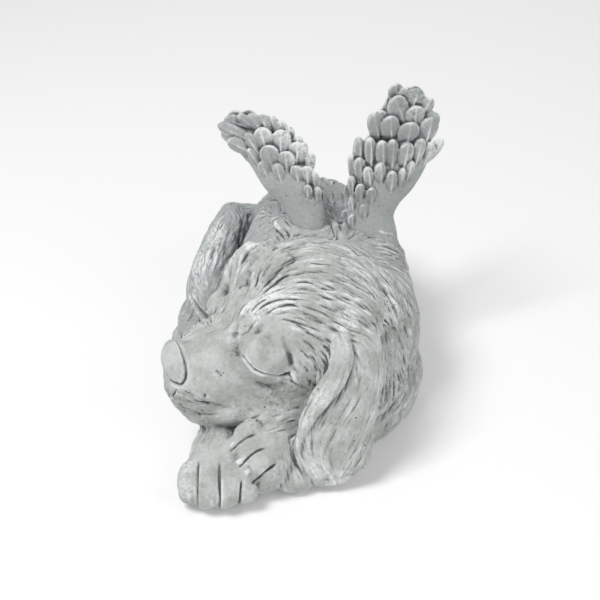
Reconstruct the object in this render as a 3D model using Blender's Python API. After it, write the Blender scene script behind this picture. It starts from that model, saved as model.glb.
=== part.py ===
"""Sleeping puppy with raised wings: a garden memorial statue cast in one piece.

The puppy lies curled on its belly, with its head turned to its right and resting on its
crossed front paws. +X is the puppy's left, -Y its front and +Z up. The origin lies on the flat
underside. The forms are given in carving units, of which the statue is 248 long, so that at a
length of 248 mm each unit is a millimetre.
"""

import math

import bmesh
import bpy
import numpy as np
from mathutils import Matrix, Vector
from mathutils.bvhtree import BVHTree

# Driving sizes, in metres.
STATUE_LENGTH = 0.248
WING_THICKNESS = 0.0105
EAR_THICKNESS = 0.0075
FEATHER_THICKNESS = 0.0026
FEATHER_LIFT = 0.0042

# The forms below are drawn for a statue this many carving units long.
CARVED_LENGTH = 248.0
UNIT = STATUE_LENGTH / CARVED_LENGTH

# Fineness of the carved surface in carving units, and how many facets the finished solid keeps.
BODY_VOXEL = 2.0
DETAIL_VOXEL = 1.2
FACET_BUDGET = 9600

STONE_COLOUR = (0.47, 0.49, 0.46, 1.0)
STONE_ROUGHNESS = 0.85

# The head's own axes: forward along the muzzle, left towards its left ear, and up.
HEAD_CENTRE = np.array((5.0, -38.0, 75.0))
HEAD_YAW = math.radians(65.0)
HEAD_FORWARD = np.array((-math.sin(HEAD_YAW), -math.cos(HEAD_YAW), 0.0))
HEAD_LEFT = np.array((math.cos(HEAD_YAW), -math.sin(HEAD_YAW), 0.0))
HEAD_UP = np.array((0.0, 0.0, 1.0))


def unit_vector(vector):
    vector = np.asarray(vector, float)
    return vector / np.linalg.norm(vector)


def head_point(forward, left, up):
    """A point given in the head's own axes, as carving units of the statue."""
    return HEAD_CENTRE + forward * HEAD_FORWARD + left * HEAD_LEFT + up * HEAD_UP


def smooth_curve(stations, steps):
    """Reads a smooth curve through the stations, which may hold any number of values each."""
    stations = np.asarray(stations, float)
    last = len(stations) - 1
    padded = np.vstack((2 * stations[0] - stations[1], stations, 2 * stations[-1] - stations[-2]))
    rows = []
    for t in np.linspace(0.0, last, steps):
        i = min(int(t), last - 1)
        u = t - i
        a, b, c, d = padded[i : i + 4]
        rows.append(
            0.5 * (2 * b + (c - a) * u + (2 * a - 5 * b + 4 * c - d) * u**2 + (3 * b - a - 3 * c + d) * u**3)
        )
    return np.array(rows)


def new_object(name, mesh):
    made = bpy.data.objects.new(name, mesh)
    bpy.context.scene.collection.objects.link(made)
    return made


def loft(name, stations, across, steps=14, sides=16, power=2.0, end_round=1.0):
    """A closed limb through stations of x, y, z, half width and half thickness.

    across is the direction of the width, one for all stations or one for each.
    """
    rows = smooth_curve(stations, steps)
    across = np.asarray(across, float)
    if across.ndim == 1:
        across = np.repeat(across[None], len(stations), axis=0)
    width_axes = smooth_curve(across, steps)
    centres, radii = rows[:, :3], np.maximum(rows[:, 3:5], 0.3)
    travel = np.gradient(centres, axis=0)
    rings = []
    caps = 4
    for end, order in ((0, range(caps, 0, -1)), (None, ()), (-1, range(1, caps + 1))):
        if end is None:
            rings += [(c, t, w, r) for c, t, w, r in zip(centres, travel, width_axes, radii)]
            continue
        outward = unit_vector(travel[end]) * (-1 if end == 0 else 1)
        reach = min(radii[end]) * end_round
        for k in order:
            angle = k / (caps + 0.6) * math.pi / 2
            centre = centres[end] + outward * reach * math.sin(angle)
            rings.append((centre, travel[end], width_axes[end], radii[end] * math.cos(angle)))
    shape = bmesh.new()
    made = []
    for centre, direction, width_axis, (half_width, half_thick) in rings:
        direction = unit_vector(direction)
        side = unit_vector(width_axis - direction * np.dot(width_axis, direction))
        up = np.cross(direction, side)
        ring = []
        for angle in np.linspace(0.0, 2 * math.pi, sides, endpoint=False):
            c, s = math.cos(angle), math.sin(angle)
            x = math.copysign(abs(c) ** (2 / power), c) * half_width
            y = math.copysign(abs(s) ** (2 / power), s) * half_thick
            ring.append(shape.verts.new((centre + x * side + y * up) * UNIT))
        made.append(ring)
    for low, high in zip(made[:-1], made[1:]):
        for i in range(sides):
            j = (i + 1) % sides
            shape.faces.new((low[i], low[j], high[j], high[i]))
    shape.faces.new(list(reversed(made[0])))
    shape.faces.new(made[-1])
    bmesh.ops.recalc_face_normals(shape, faces=shape.faces)
    mesh = bpy.data.meshes.new(name)
    shape.to_mesh(mesh)
    shape.free()
    return new_object(name, mesh)


def ball(name, centre, radii, forward=(0, 1, 0), up=(0, 0, 1)):
    """An ellipsoid, with its radii along forward, sideways and up."""
    forward = unit_vector(forward)
    side = unit_vector(np.cross(up, forward))
    above = np.cross(forward, side)
    turn = Matrix(np.column_stack((forward * radii[0], side * radii[1], above * radii[2])).tolist())
    shape = bmesh.new()
    place = Matrix.Translation(Vector(np.asarray(centre, float) * UNIT))
    bmesh.ops.create_icosphere(shape, subdivisions=4, radius=UNIT, matrix=place @ turn.to_4x4())
    mesh = bpy.data.meshes.new(name)
    shape.to_mesh(mesh)
    shape.free()
    return new_object(name, mesh)


def head_ball(name, place, radii, forward=HEAD_FORWARD, up=HEAD_UP):
    return ball(name, head_point(*place), radii, forward, up)


def evaluated(made):
    """Replaces an object's mesh with what its modifiers make of it."""
    graph = bpy.context.evaluated_depsgraph_get()
    graph.update()
    mesh = bpy.data.meshes.new_from_object(made.evaluated_get(graph))
    made.modifiers.clear()
    made.data = mesh
    return made


def fuse(name, pieces, voxel, smoothing):
    """Joins closed pieces into one skin, as clay is pressed together, and smooths the joins."""
    shape = bmesh.new()
    for piece in pieces:
        shape.from_mesh(piece.data)
        bpy.data.objects.remove(piece)
    mesh = bpy.data.meshes.new(name)
    shape.to_mesh(mesh)
    shape.free()
    made = new_object(name, mesh)
    remesh = made.modifiers.new("skin", "REMESH")
    remesh.mode = "VOXEL"
    remesh.voxel_size = voxel * UNIT
    if smoothing:
        soften = made.modifiers.new("soften", "SMOOTH")
        soften.factor = 0.5
        soften.iterations = smoothing
    return evaluated(made)


def torso():
    """The curled trunk, the haunches, the shoulders and the nape."""
    trunk = [
        (10, -50, 30, 30, 31),
        (17, -22, 38, 42, 41),
        (19, 12, 41, 48, 45),
        (14, 48, 41, 52, 46.5),
        (10, 80, 42, 47, 46),
        (4, 100, 43, 39, 43),
    ]
    return [
        loft("trunk", trunk, (1, 0, 0), steps=24, sides=40, power=2.4, end_round=0.68),
        ball("haunch", (36, 84, 36), (34, 26, 38), (0, 1, 0)),
        ball("far_haunch", (-34, 88, 22), (32, 22, 26), (-0.3, 1, 0)),
        ball("shoulder", (48, -4, 42), (36, 21, 40), (0.1, 1, 0)),
        ball("far_shoulder", (-14, -8, 34), (30, 20, 34), (0.1, 1, 0)),
        ball("nape", (32, -14, 62), (30, 30, 30), (0, 1, 0)),
    ]


def legs():
    """The front legs, which cross under the chin, and the hind leg and tail beside the flank."""
    thigh = [
        (-28, 106, 44, 16, 20),
        (-42, 94, 47, 14, 24),
        (-51, 78, 44, 13, 23),
        (-56, 63, 36, 12.5, 19),
        (-58, 52, 26, 11, 15),
        (-56, 46, 17, 9, 12),
    ]
    left_leg = [
        (57, -6, 17, 15, 20),
        (49, -34, 16, 15, 18),
        (31, -57, 15, 13, 16),
        (8, -76, 17, 13, 16),
        (-8, -86, 21, 12, 13),
    ]
    right_leg = [
        (-14, -20, 24, 16, 24),
        (-30, -46, 18, 15, 19),
        (-40, -72, 15, 16, 16),
        (-44, -90, 14, 16, 15),
    ]
    hind_foot = [
        (-44, 88, 11, 12, 14),
        (-62, 66, 11, 12, 14),
        (-64, 44, 10, 12, 12),
    ]
    tail = [
        (6, 112, 26, 12, 14),
        (-18, 114, 13, 10, 13),
        (-42, 107, 8, 9, 10),
        (-60, 93, 6, 6, 7),
    ]
    level = (0.6, -0.7, 0)
    return [
        loft("thigh", thigh, (0.85, 0.5, 0), steps=18, sides=24, power=2.3),
        loft("left_leg", left_leg, level, steps=20, sides=20),
        loft("right_leg", right_leg, (1, 0, 0), steps=16, sides=20),
        loft("hind_foot", hind_foot, (1, 0, 0), steps=14, sides=18),
        loft("tail", tail, (0.5, 1, 0), steps=16, sides=16),
    ]


def skull():
    """The cranium, brow, muzzle, cheeks and lids, in the head's own axes."""
    muzzle = [
        (*head_point(20, 0, -12), 30, 29),
        (*head_point(44, 0, -18), 26, 27),
        (*head_point(60, 0, -21), 22.5, 25),
        (*head_point(71, 0, -21), 17, 21),
    ]
    pieces = [
        head_ball("cranium", (-2, 0, 0), (39, 38, 37)),
        head_ball("brow", (22, 0, 5), (25, 31, 24)),
        head_ball("cheek", (18, 16, -22), (25, 20, 20)),
        head_ball("far_cheek", (18, -14, -22), (25, 20, 20)),
        head_ball("chin", (61, 0, -40), (16, 18, 11)),
        head_ball("jowl", (42, 7, -35), (28, 23, 15)),
        head_ball("temple", (10, 29, -9), (22, 10, 24)),
        head_ball("far_temple", (12, -28, -9), (24, 10, 22)),
        head_ball("far_jowl", (44, -6, -31), (26, 20, 13)),
        head_ball("jaw_corner", (22, 15, -30), (24, 20, 14)),
        head_ball("ear_root", (-12, 29, 8), (18, 12, 16)),
        head_ball("cheek_fill", (20, 26, -30), (17, 10, 12)),
        head_ball("jaw_rest", (28, 27, -38), (20, 12, 9)),
        loft("muzzle", muzzle, HEAD_LEFT, steps=14, sides=28, power=2.4, end_round=0.8),
    ]
    pieces.append(head_ball("brow_fold", (22, 27, 2), (7, 8, 14)))
    for side in (1, -1):
        pieces += [
            head_ball(f"lid_{side}", (36, 23 * side, -4), (14, 12, 13.5)),
            head_ball(f"lip_{side}", (61, 10 * side, -19), (18, 13, 13)),
        ]
    return pieces


def paw(name, wrist, toward, top, width, length, height):
    """A puppy's paw: a round back and four toes side by side. top is the way its back faces."""
    toward = unit_vector(toward)
    across = unit_vector(np.cross(toward, top))
    top = np.cross(across, toward)
    wrist = np.asarray(wrist, float)
    pieces = [
        ball(name + "_back", wrist + toward * length * 0.38, (length * 0.5, width * 0.47, height * 0.52), toward, top)
    ]
    for k, (place, reach) in enumerate(((-0.33, 0.86), (-0.115, 1.0), (0.115, 1.0), (0.33, 0.86))):
        tip_direction = unit_vector(toward + across * place * 0.2)
        toe = [
            (*(wrist + across * place * width * 0.9 + tip_direction * length * 0.35 + top * height * 0.10),
             width * 0.13, height * 0.36),
            (*(wrist + across * place * width + tip_direction * length * 0.62 * reach + top * height * 0.06),
             width * 0.15, height * 0.40),
            (*(wrist + across * place * width * 1.03 + tip_direction * length * 0.84 * reach - top * height * 0.12),
             width * 0.15, height * 0.34),
        ]
        pieces.append(loft(f"{name}_toe_{k}", toe, across, steps=8, sides=14))
    return pieces


def paws():
    return [
        *paw("right_paw", (-44, -85, 13), (0, -1, -0.03), (0, 0, 1), 38, 35, 28),
        *paw("left_paw", (-7, -83, 28), (-0.74, -0.52, -0.40), (0.17, -0.72, 0.65), 34, 36, 26),
        *paw("hind_paw", (-64, 48, 10), (-0.1, -1, 0), (0, 0, 1), 24, 28, 22),
        ball("wrist_pad", (-3, -92, 8), (13, 12, 10), (0.8, 0.6, 0)),
    ]


def near_ear():
    """The left ear, which hangs over the front leg nearly to the ground."""
    half = EAR_THICKNESS / UNIT / 2
    flap = [
        (26, -56, 88, 10, half + 3),
        (28, -66, 81, 13, half + 1),
        (29.5, -76, 66, 14, half),
        (23, -84, 51, 18.5, half),
        (18.5, -89, 38, 21, half),
        (17.5, -92, 26, 20.5, half),
        (17.5, -95, 15.5, 18, half),
        (18.5, -96, 8.5, 13.5, half),
    ]
    backing = [
        (24, -58, 72, 10, 12),
        (20, -68, 54, 13, 14),
        (15, -76, 36, 15, 14),
        (14, -82, 22, 14, 12),
        (14, -82, 12, 12, 10),
    ]
    fold = [
        (21, -66, 84, 5, 5.5),
        (20.5, -76, 76, 5.5, 5.5),
        (19, -82, 65, 5, 5),
        (12, -87, 55, 3.5, 4),
        (4, -91, 44, 2.5, 3),
    ]
    return [
        loft("near_ear", flap, (1, 0.15, 0), steps=24, sides=22, end_round=1.3),
        loft("near_ear_fold", fold, (1, 0, 0), steps=16, sides=12),
        loft("near_ear_backing", backing, (1, 0.15, 0), steps=14, sides=18),
    ]


def far_ear():
    """The right ear, folded forward along the far cheek."""
    half = EAR_THICKNESS / UNIT / 2
    flap = [
        (*head_point(-6, -26, 24), 12, half + 2),
        (*head_point(6, -30, 20), 15, half + 1),
        (*head_point(15, -32, 12), 17, half),
        (*head_point(22, -34, 1), 18, half),
        (*head_point(27, -35, -12), 18, half),
        (*head_point(30, -35, -25), 15, half),
        (*head_point(32, -34, -34), 10, half),
    ]
    over_brow = 0.56 * HEAD_FORWARD + 0.42 * HEAD_LEFT + 0.56 * HEAD_UP
    over_cheek = 0.75 * HEAD_FORWARD + 0.30 * HEAD_LEFT + 0.40 * HEAD_UP
    along_jaw = 0.95 * HEAD_FORWARD + 0.10 * HEAD_LEFT + 0.20 * HEAD_UP
    rim_to_head = [over_brow, over_brow, over_cheek, over_cheek, along_jaw, along_jaw, along_jaw]
    return [loft("far_ear", flap, rim_to_head, steps=18, sides=20, end_round=1.4)]


def nose():
    return head_ball("nose", (77, 0, -8), (8.5, 13, 9.5), unit_vector(HEAD_FORWARD + 0.15 * HEAD_UP))


# Each wing runs through stations of x, y, z and half width, from its root to its tip, beside the
# direction from its inner edge, where the feathers end, to its smooth outer edge.
LEFT_WING = [
    (44, 30, 62, 15),
    (43, 36, 79, 15),
    (41, 39, 93, 14.5),
    (44, 42, 106, 17),
    (50, 46, 118, 21),
    (55.5, 49, 129, 21.5),
    (59.5, 52, 140, 18),
    (62.5, 55, 151, 13),
    (64, 58, 160, 7),
]
RIGHT_WING = [
    (6, 32, 62, 16),
    (2, 36, 80, 17),
    (-1, 40, 97, 16),
    (-6, 43, 110, 16),
    (-12, 47, 119, 15),
    (-19, 51, 126, 12.5),
    (-27, 55, 130, 9.5),
    (-34, 58, 131.5, 7),
    (-40, 60, 132, 4),
]
LEFT_WING_ACROSS = [(1, 0.36, 0), (1, 0.36, 0), (1, 0.36, 0), (1, 0.36, -0.1), (1, 0.36, -0.2), (1, 0.36, -0.15),
                    (1, 0.36, -0.1), (1, 0.36, -0.1), (1, 0.36, -0.1)]
RIGHT_WING_ACROSS = [(-1, 0.3, 0.1), (-1, 0.3, 0.2), (-1, 0.3, 0.2), (-1, 0.3, 0), (-1, 0.25, -0.1),
                     (-0.9, 0.2, -0.3), (-0.8, 0.2, -0.55), (-0.7, 0.1, -0.7), (-0.7, 0.1, -0.7)]


# Each tier of feathers: share of the wing's length at the roots, feather length and width, the
# places across of its first and last feather, from -1 at the inner edge to 1, and their number.
FEATHER_TIERS = (
    (0.22, 12, 8.0, -0.70, -0.05, 3),
    (0.30, 13, 8.5, -0.78, 0.05, 3),
    (0.38, 15, 9.0, -0.82, 0.35, 4),
    (0.47, 18, 9.0, -0.85, 0.74, 6),
    (0.60, 20, 13.0, -0.70, 0.52, 4),
    (0.71, 19, 13.5, -0.78, 0.55, 4),
    (0.81, 16, 13.5, -0.60, 0.35, 3),
    (0.89, 12, 12.0, -0.40, 0.25, 2),
)
# Each root is sunk this share of a feather's thickness into the blade.
FEATHER_SINK = 0.54


class Wing:
    """A wing's curved blade, which gives places on its faces for the feathers."""

    def __init__(self, name, stations, across):
        self.name = name
        self.stations = stations
        self.across = across
        self.rows = smooth_curve(stations, 81)
        self.axes = smooth_curve(across, 81)
        self.travel = np.gradient(self.rows[:, :3], axis=0)

    def frame(self, t):
        """The centre, along, across, outward normal and half width at a share of the wing's length."""
        i = int(round(min(max(t, 0.0), 1.0) * 80))
        along = unit_vector(self.travel[i])
        across = unit_vector(self.axes[i] - along * np.dot(self.axes[i], along))
        normal = np.cross(along, across)
        if normal[1] > 0:
            normal = -normal
        return self.rows[i, :3], along, across, normal, self.rows[i, 3]

    def blade(self):
        half = WING_THICKNESS / UNIT / 2
        thick = [half * 1.5, half * 1.3, half * 1.15, half, half * 0.9, half * 0.8, half * 0.7, half * 0.6, half * 0.5]
        stations = [(*row, thickness) for row, thickness in zip(self.stations, thick)]
        return loft(self.name + "_blade", stations, self.across, steps=30, sides=24, end_round=1.0)

    def feather(self, t, place, face, length, width, splay):
        """A feather rooted at share t of the length and place across, on the front (1) or back (-1)."""
        centre, along, across, normal, half = self.frame(t)
        half_blade = WING_THICKNESS / UNIT / 2 * (1.15 - 0.6 * t)
        skin = half_blade * math.sqrt(1 - min(place**2, 0.9))
        root = centre + across * place * half + normal * face * (skin - FEATHER_SINK * FEATHER_THICKNESS / UNIT)
        toward = unit_vector(along * math.cos(splay) - across * math.sin(splay))
        side = np.cross(toward, normal)
        stations = []
        for share, swell in ((0.0, 0.6), (0.3, 0.86), (0.6, 1.0), (0.8, 0.92), (0.93, 0.66), (1.0, 0.3)):
            lift = normal * face * FEATHER_LIFT / UNIT * (1.4 * share - 0.4 * share**2)
            point = root + toward * length * share + lift
            stations.append((*point, width * 0.5 * swell, FEATHER_THICKNESS / UNIT / 2))
        return loft(f"{self.name}_feather", stations, side, steps=9, sides=10, end_round=0.8)

    def feathers(self):
        """Tiers of feathers like shingles on both faces: small ones on the arm, broad ones to the tip."""
        pieces = []
        for face in (1, -1):
            for t, length, width, inner, outer, count in FEATHER_TIERS:
                for k in range(count):
                    share = k / max(count - 1, 1)
                    place = inner + (outer - inner) * share
                    splay = math.radians(24 - 34 * (place + 0.9) / 1.8)
                    pieces.append(self.feather(t, place, face, length * (1 - 0.1 * (k % 2)), width, splay))
        return pieces


def wings():
    pieces = []
    for name, stations, across in (
        ("left_wing", LEFT_WING, LEFT_WING_ACROSS),
        ("right_wing", RIGHT_WING, RIGHT_WING_ACROSS),
    ):
        wing = Wing(name, stations, across)
        pieces.append(wing.blade())
        pieces += wing.feathers()
    return pieces


def vertex_array(mesh):
    places = np.empty(len(mesh.vertices) * 3, np.float32)
    mesh.vertices.foreach_get("co", places)
    return places.reshape(-1, 3).astype(float)


def normal_array(mesh):
    normals = np.empty(len(mesh.vertices) * 3, np.float32)
    mesh.vertices.foreach_get("normal", normals)
    return normals.reshape(-1, 3).astype(float)


def distance_along_line(places, line):
    """The distance of each place to a line of points, and its share of the way along, all in metres."""
    nearest = np.full(len(places), np.inf)
    along = np.zeros(len(places))
    for number, (a, b) in enumerate(zip(line[:-1], line[1:])):
        span = b - a
        share = np.clip((places - a) @ span / max(span @ span, 1e-12), 0.0, 1.0)
        away = np.linalg.norm(places - a - share[:, None] * span, axis=1)
        closer = away < nearest
        nearest[closer] = away[closer]
        along[closer] = (number + share[closer]) / (len(line) - 1)
    return nearest, along


def groove_all(made, lines):
    """Presses grooves into the surface, tapered at their ends. Each is a line, a half width and a depth."""
    places, normals = vertex_array(made.data), normal_array(made.data)
    tree = BVHTree.FromPolygons(places.tolist(), [p.vertices for p in made.data.polygons])
    press = np.zeros(len(places))
    for points, width, depth in lines:
        steps = 4 * len(points)
        line = []
        for point in smooth_curve(points, steps) * UNIT:
            line.append(np.array(tree.find_nearest(Vector(point))[0]))
        line = np.array(line)
        reach = width * UNIT
        low, high = line.min(axis=0) - reach, line.max(axis=0) + reach
        near = np.nonzero(((places > low) & (places < high)).all(axis=1))[0]
        away, share = distance_along_line(places[near], line)
        taper = np.clip(4 * np.minimum(share, 1 - share) + 0.15, 0.0, 1.0)
        push = depth * UNIT * taper * np.clip(1 - (away / reach) ** 2, 0.0, 1.0) ** 1.5
        press[near] = np.maximum(press[near], push)
    places -= normals * press[:, None]
    made.data.vertices.foreach_set("co", places.astype(np.float32).ravel())
    made.data.update()


def face_lines():
    """The line of the closed lids, the fold above them and the mouth."""
    lines = []
    for side in (1, -1):
        for depth, stations in (
            (1.9, ((50, 17, -3), (47, 25, -8), (40, 32, -12), (31, 35, -12), (25, 35, -8))),
            (1.2, ((42, 18, 10), (34, 28, 10), (29, 34, 4), (27, 36, -3), (26, 37, -10))),
            (1.9, ((80, 2, -25), (75, 14, -26), (66, 23, -28), (54, 26, -31))),
        ):
            lines.append(([head_point(f, l * side, u) for f, l, u in stations], 2.3, depth))
    return lines


LOCK_STEPS = 10


def sweep(first, last, count, width, depth):
    """A fan of count locks, spread evenly from the first line of points to the last."""
    lines = []
    for k in range(count):
        share = k / max(count - 1, 1)
        points = [
            (1 - share) * np.asarray(a, float) + share * np.asarray(b, float) for a, b in zip(first, last)
        ]
        whole = smooth_curve(points, LOCK_STEPS)
        lines.append((whole[(2 * k) % 3 : LOCK_STEPS - k % 3], width, depth))
    return lines


def lock_lines():
    """The main locks of the coat, which flow back from the brow and down over the flanks."""
    crown_low = [head_point(*p) for p in ((30, 30, 22), (8, 40, 20), (-14, 42, 12), (-34, 34, -2))]
    crown_high = [head_point(*p) for p in ((34, -24, 26), (6, -20, 44), (-20, -12, 44), (-48, 0, 24))]
    muzzle_low = [head_point(*p) for p in ((66, 16, -8), (56, 22, -6), (46, 27, -14), (34, 32, -20))]
    muzzle_high = [head_point(*p) for p in ((70, 0, 8), (56, 4, 12), (42, 6, 22), (28, 8, 34))]
    lines = sweep(crown_low, crown_high, 13, 2.6, 1.5)
    lines += sweep(muzzle_low, muzzle_high, 4, 2.2, 0.9)
    lines += sweep(
        ((28, -50, 96), (52, -44, 76), (66, -40, 50), (62, -36, 26)),
        ((30, -2, 104), (58, 4, 86), (74, 10, 60), (78, 18, 28)), 7, 2.8, 1.5,
    )
    lines += sweep(
        ((58, 16, 98), (72, 32, 70), (78, 48, 40), (74, 60, 12)),
        ((30, 96, 98), (46, 112, 74), (54, 124, 44), (50, 128, 14)), 7, 2.8, 1.3,
    )
    lines += sweep(
        ((-30, 10, 92), (-44, 24, 66), (-50, 34, 42), (-48, 42, 18)),
        ((-18, 78, 100), (-34, 90, 82), (-40, 88, 66), (-44, 80, 56)), 5, 2.8, 1.3,
    )
    lines += sweep(
        ((-38, 108, 66), (-56, 90, 60), (-70, 70, 48), (-74, 54, 32)),
        ((-50, 112, 28), (-66, 92, 28), (-76, 72, 22), (-78, 56, 16)), 4, 2.6, 1.2,
    )
    lines += sweep(
        ((18, -76, 82), (12, -92, 58), (6, -100, 36), (12, -104, 14)),
        ((36, -76, 84), (38, -90, 56), (36, -100, 32), (30, -104, 12)), 4, 2.3, 1.0,
    )
    lines += sweep(
        ((72, -20, 30), (62, -48, 26), (44, -68, 22), (26, -84, 18)),
        ((72, -16, 12), (60, -46, 8), (42, -68, 6), (24, -84, 4)), 3, 2.4, 1.1,
    )
    return lines


def finished(statue):
    """Takes the fine skin down to the facet budget and cuts the underside flat."""
    statue.data.calc_loop_triangles()
    reduce = statue.modifiers.new("facets", "DECIMATE")
    reduce.ratio = min(1.0, FACET_BUDGET / len(statue.data.loop_triangles))
    reduce.use_collapse_triangulate = True
    evaluated(statue)
    shape = bmesh.new()
    shape.from_mesh(statue.data)
    everything = list(shape.verts) + list(shape.edges) + list(shape.faces)
    cut = bmesh.ops.bisect_plane(
        shape, geom=everything, dist=1e-6, plane_co=(0, 0, 0), plane_no=(0, 0, 1), clear_inner=True
    )
    rim = [e for e in cut["geom_cut"] if isinstance(e, bmesh.types.BMEdge)]
    bmesh.ops.holes_fill(shape, edges=rim, sides=0)
    bmesh.ops.triangulate(shape, faces=shape.faces)
    bmesh.ops.recalc_face_normals(shape, faces=shape.faces)
    shape.to_mesh(statue.data)
    shape.free()
    return statue


def stone():
    material = bpy.data.materials.new("cast_stone")
    material.use_nodes = True
    shader = material.node_tree.nodes["Principled BSDF"]
    shader.inputs["Base Color"].default_value = STONE_COLOUR
    shader.inputs["Roughness"].default_value = STONE_ROUGHNESS
    return material


def main():
    for old in list(bpy.data.objects):
        bpy.data.objects.remove(old)
    soft = [fuse("body", torso(), BODY_VOXEL, 12), fuse("head", skull(), BODY_VOXEL, 6)]
    crisp = [*legs(), *paws(), *near_ear(), *far_ear(), nose(), *wings()]
    statue = fuse("sleeping_puppy", soft + crisp, DETAIL_VOXEL, 3)
    groove_all(statue, lock_lines() + face_lines())
    finished(statue)
    statue.data.materials.append(stone())


main()
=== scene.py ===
# %% [markdown]
# # A sleeping puppy with raised wings, cast in stone
#
# The object is a garden memorial about 25 cm long: one casting, darkened in the hollows with
# painted shade, partly a thin wash in the fine grooves, and whitened with painted highlights, partly
# a dry brush, on the raised hair and feathers. The imported model gives its size and its forms.
# This script models the finer skin over them: the face, the ears, the paws, the feathers and the
# combed coat, and then the stone's colour with its painted shade and highlights.
#
# Lengths are typed in millimetres and turned into metres where a mesh is made. +X is the
# puppy's left, -Y its front, +Z up, and the flat underside lies on Z = 0.

# %% The frame and the tools
import math

import bpy
import numpy as np
from mathutils import Matrix, Vector
from mathutils.bvhtree import BVHTree
from mathutils.kdtree import KDTree


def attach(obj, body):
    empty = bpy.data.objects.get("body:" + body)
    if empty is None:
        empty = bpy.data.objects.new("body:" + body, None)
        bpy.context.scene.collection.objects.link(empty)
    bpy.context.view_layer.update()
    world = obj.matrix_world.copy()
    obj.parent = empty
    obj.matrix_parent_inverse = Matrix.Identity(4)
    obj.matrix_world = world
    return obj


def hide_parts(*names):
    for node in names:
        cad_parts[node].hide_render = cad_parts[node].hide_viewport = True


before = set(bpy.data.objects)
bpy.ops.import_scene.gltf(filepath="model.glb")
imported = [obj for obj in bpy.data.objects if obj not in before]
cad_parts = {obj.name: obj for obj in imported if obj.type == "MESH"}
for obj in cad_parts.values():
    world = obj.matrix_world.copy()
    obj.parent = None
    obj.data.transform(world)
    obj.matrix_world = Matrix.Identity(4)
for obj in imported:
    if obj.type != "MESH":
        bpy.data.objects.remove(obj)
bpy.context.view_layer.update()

MM = 0.001

# %% [markdown]
# ## The camera
#
# The camera comes first, because the face and the coat are drawn through it: a line is typed as
# pixels of a 600 x 600 picture and dropped onto the statue along the camera's own rays, as a
# sculptor draws on clay from where the model is seen best.

# %% Camera
PICTURE_SIDE = 600
LENS = 84.0
SENSOR = 36.0
EYE = Vector((0.0, -0.6784, 0.4839))
LOOK_AT = Vector((0.0, 0.0, 0.060))

camera_data = bpy.data.cameras.new("photo_camera")
camera_data.lens = LENS
camera_data.sensor_width = SENSOR
camera = bpy.data.objects.new("photo_camera", camera_data)
bpy.context.scene.collection.objects.link(camera)
camera.location = EYE
camera.rotation_euler = (LOOK_AT - EYE).to_track_quat("-Z", "Y").to_euler()
bpy.context.scene.camera = camera
bpy.context.view_layer.update()


def ray_through(x, y):
    """The direction of the camera's ray through a pixel of the 600 x 600 picture."""
    focal = PICTURE_SIDE * LENS / SENSOR
    seen = Vector((x - PICTURE_SIDE / 2, PICTURE_SIDE / 2 - y, -focal))
    return (camera.matrix_world.to_3x3() @ seen).normalized()


print("camera distance, mm:", round((EYE - LOOK_AT).length / MM))

# %% [markdown]
# ## Small modelling helpers
#
# An operator works on whatever is selected, and the loaded frame arrives selected, so every
# step starts from a clean selection. A modifier is applied at once, which keeps the meshes
# plain and the pieces easy to join.

# %% Selecting, applying and joining
def select_only(*pieces):
    """Selects these pieces alone and makes the first of them active."""
    bpy.ops.object.select_all(action="DESELECT")
    for piece in pieces:
        piece.select_set(True)
    bpy.context.view_layer.objects.active = pieces[0]


def apply_modifier(piece, kind, **settings):
    """Adds one modifier, applies it, and so leaves a plain mesh."""
    select_only(piece)
    modifier = piece.modifiers.new(kind.lower(), kind)
    for name, value in settings.items():
        setattr(modifier, name, value)
    bpy.ops.object.modifier_apply(modifier=modifier.name)


def voxel_skin(piece, voxel, smoothing):
    """Gives the piece one closed skin of even faces, voxel millimetres wide, and smooths it."""
    apply_modifier(piece, "REMESH", mode="VOXEL", voxel_size=voxel * MM)
    apply_modifier(piece, "SMOOTH", factor=0.5, iterations=smoothing)


def face_outward(piece):
    """Turns all of a closed piece's faces outwards."""
    select_only(piece)
    bpy.ops.object.mode_set(mode="EDIT")
    bpy.ops.mesh.select_all(action="SELECT")
    bpy.ops.mesh.normals_make_consistent(inside=False)
    bpy.ops.object.mode_set(mode="OBJECT")


def join_as(name, pieces):
    """Joins the pieces into the first of them, under this name."""
    select_only(*pieces)
    if len(pieces) > 1:
        bpy.ops.object.join()
    joined = bpy.context.active_object
    joined.name = name
    joined.data.name = name
    return joined


def face_count(piece):
    piece.data.calc_loop_triangles()
    return len(piece.data.loop_triangles)


def smooth_curve(stations, steps):
    """Reads a smooth curve through the stations, which may hold any number of values each."""
    stations = np.asarray(stations, float)
    last = len(stations) - 1
    padded = np.vstack((2 * stations[0] - stations[1], stations, 2 * stations[-1] - stations[-2]))
    t = np.linspace(0.0, last, steps)
    i = np.minimum(t.astype(int), last - 1)
    u = (t - i)[:, None]
    a, b, c, d = padded[i], padded[i + 1], padded[i + 2], padded[i + 3]
    bend, twist = 2 * a - 5 * b + 4 * c - d, 3 * b - a - 3 * c + d
    return 0.5 * (2 * b + (c - a) * u + bend * u**2 + twist * u**3)


def unit(vectors):
    """The same directions, each one long."""
    vectors = np.asarray(vectors, float)
    return vectors / np.maximum(np.linalg.norm(vectors, axis=-1, keepdims=True), 1e-12)


# %% [markdown]
# ## Reading and carving a skin
#
# Clay is carved where the tool touches it. Here a mesh of small faces takes the part of the
# clay: its points and outward directions are read into arrays, a height is worked out for each
# point, and the points are pushed out or in by it. Sculpt brushes would need a hand at a window,
# while a worked-out height comes out the same on every run.

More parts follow.
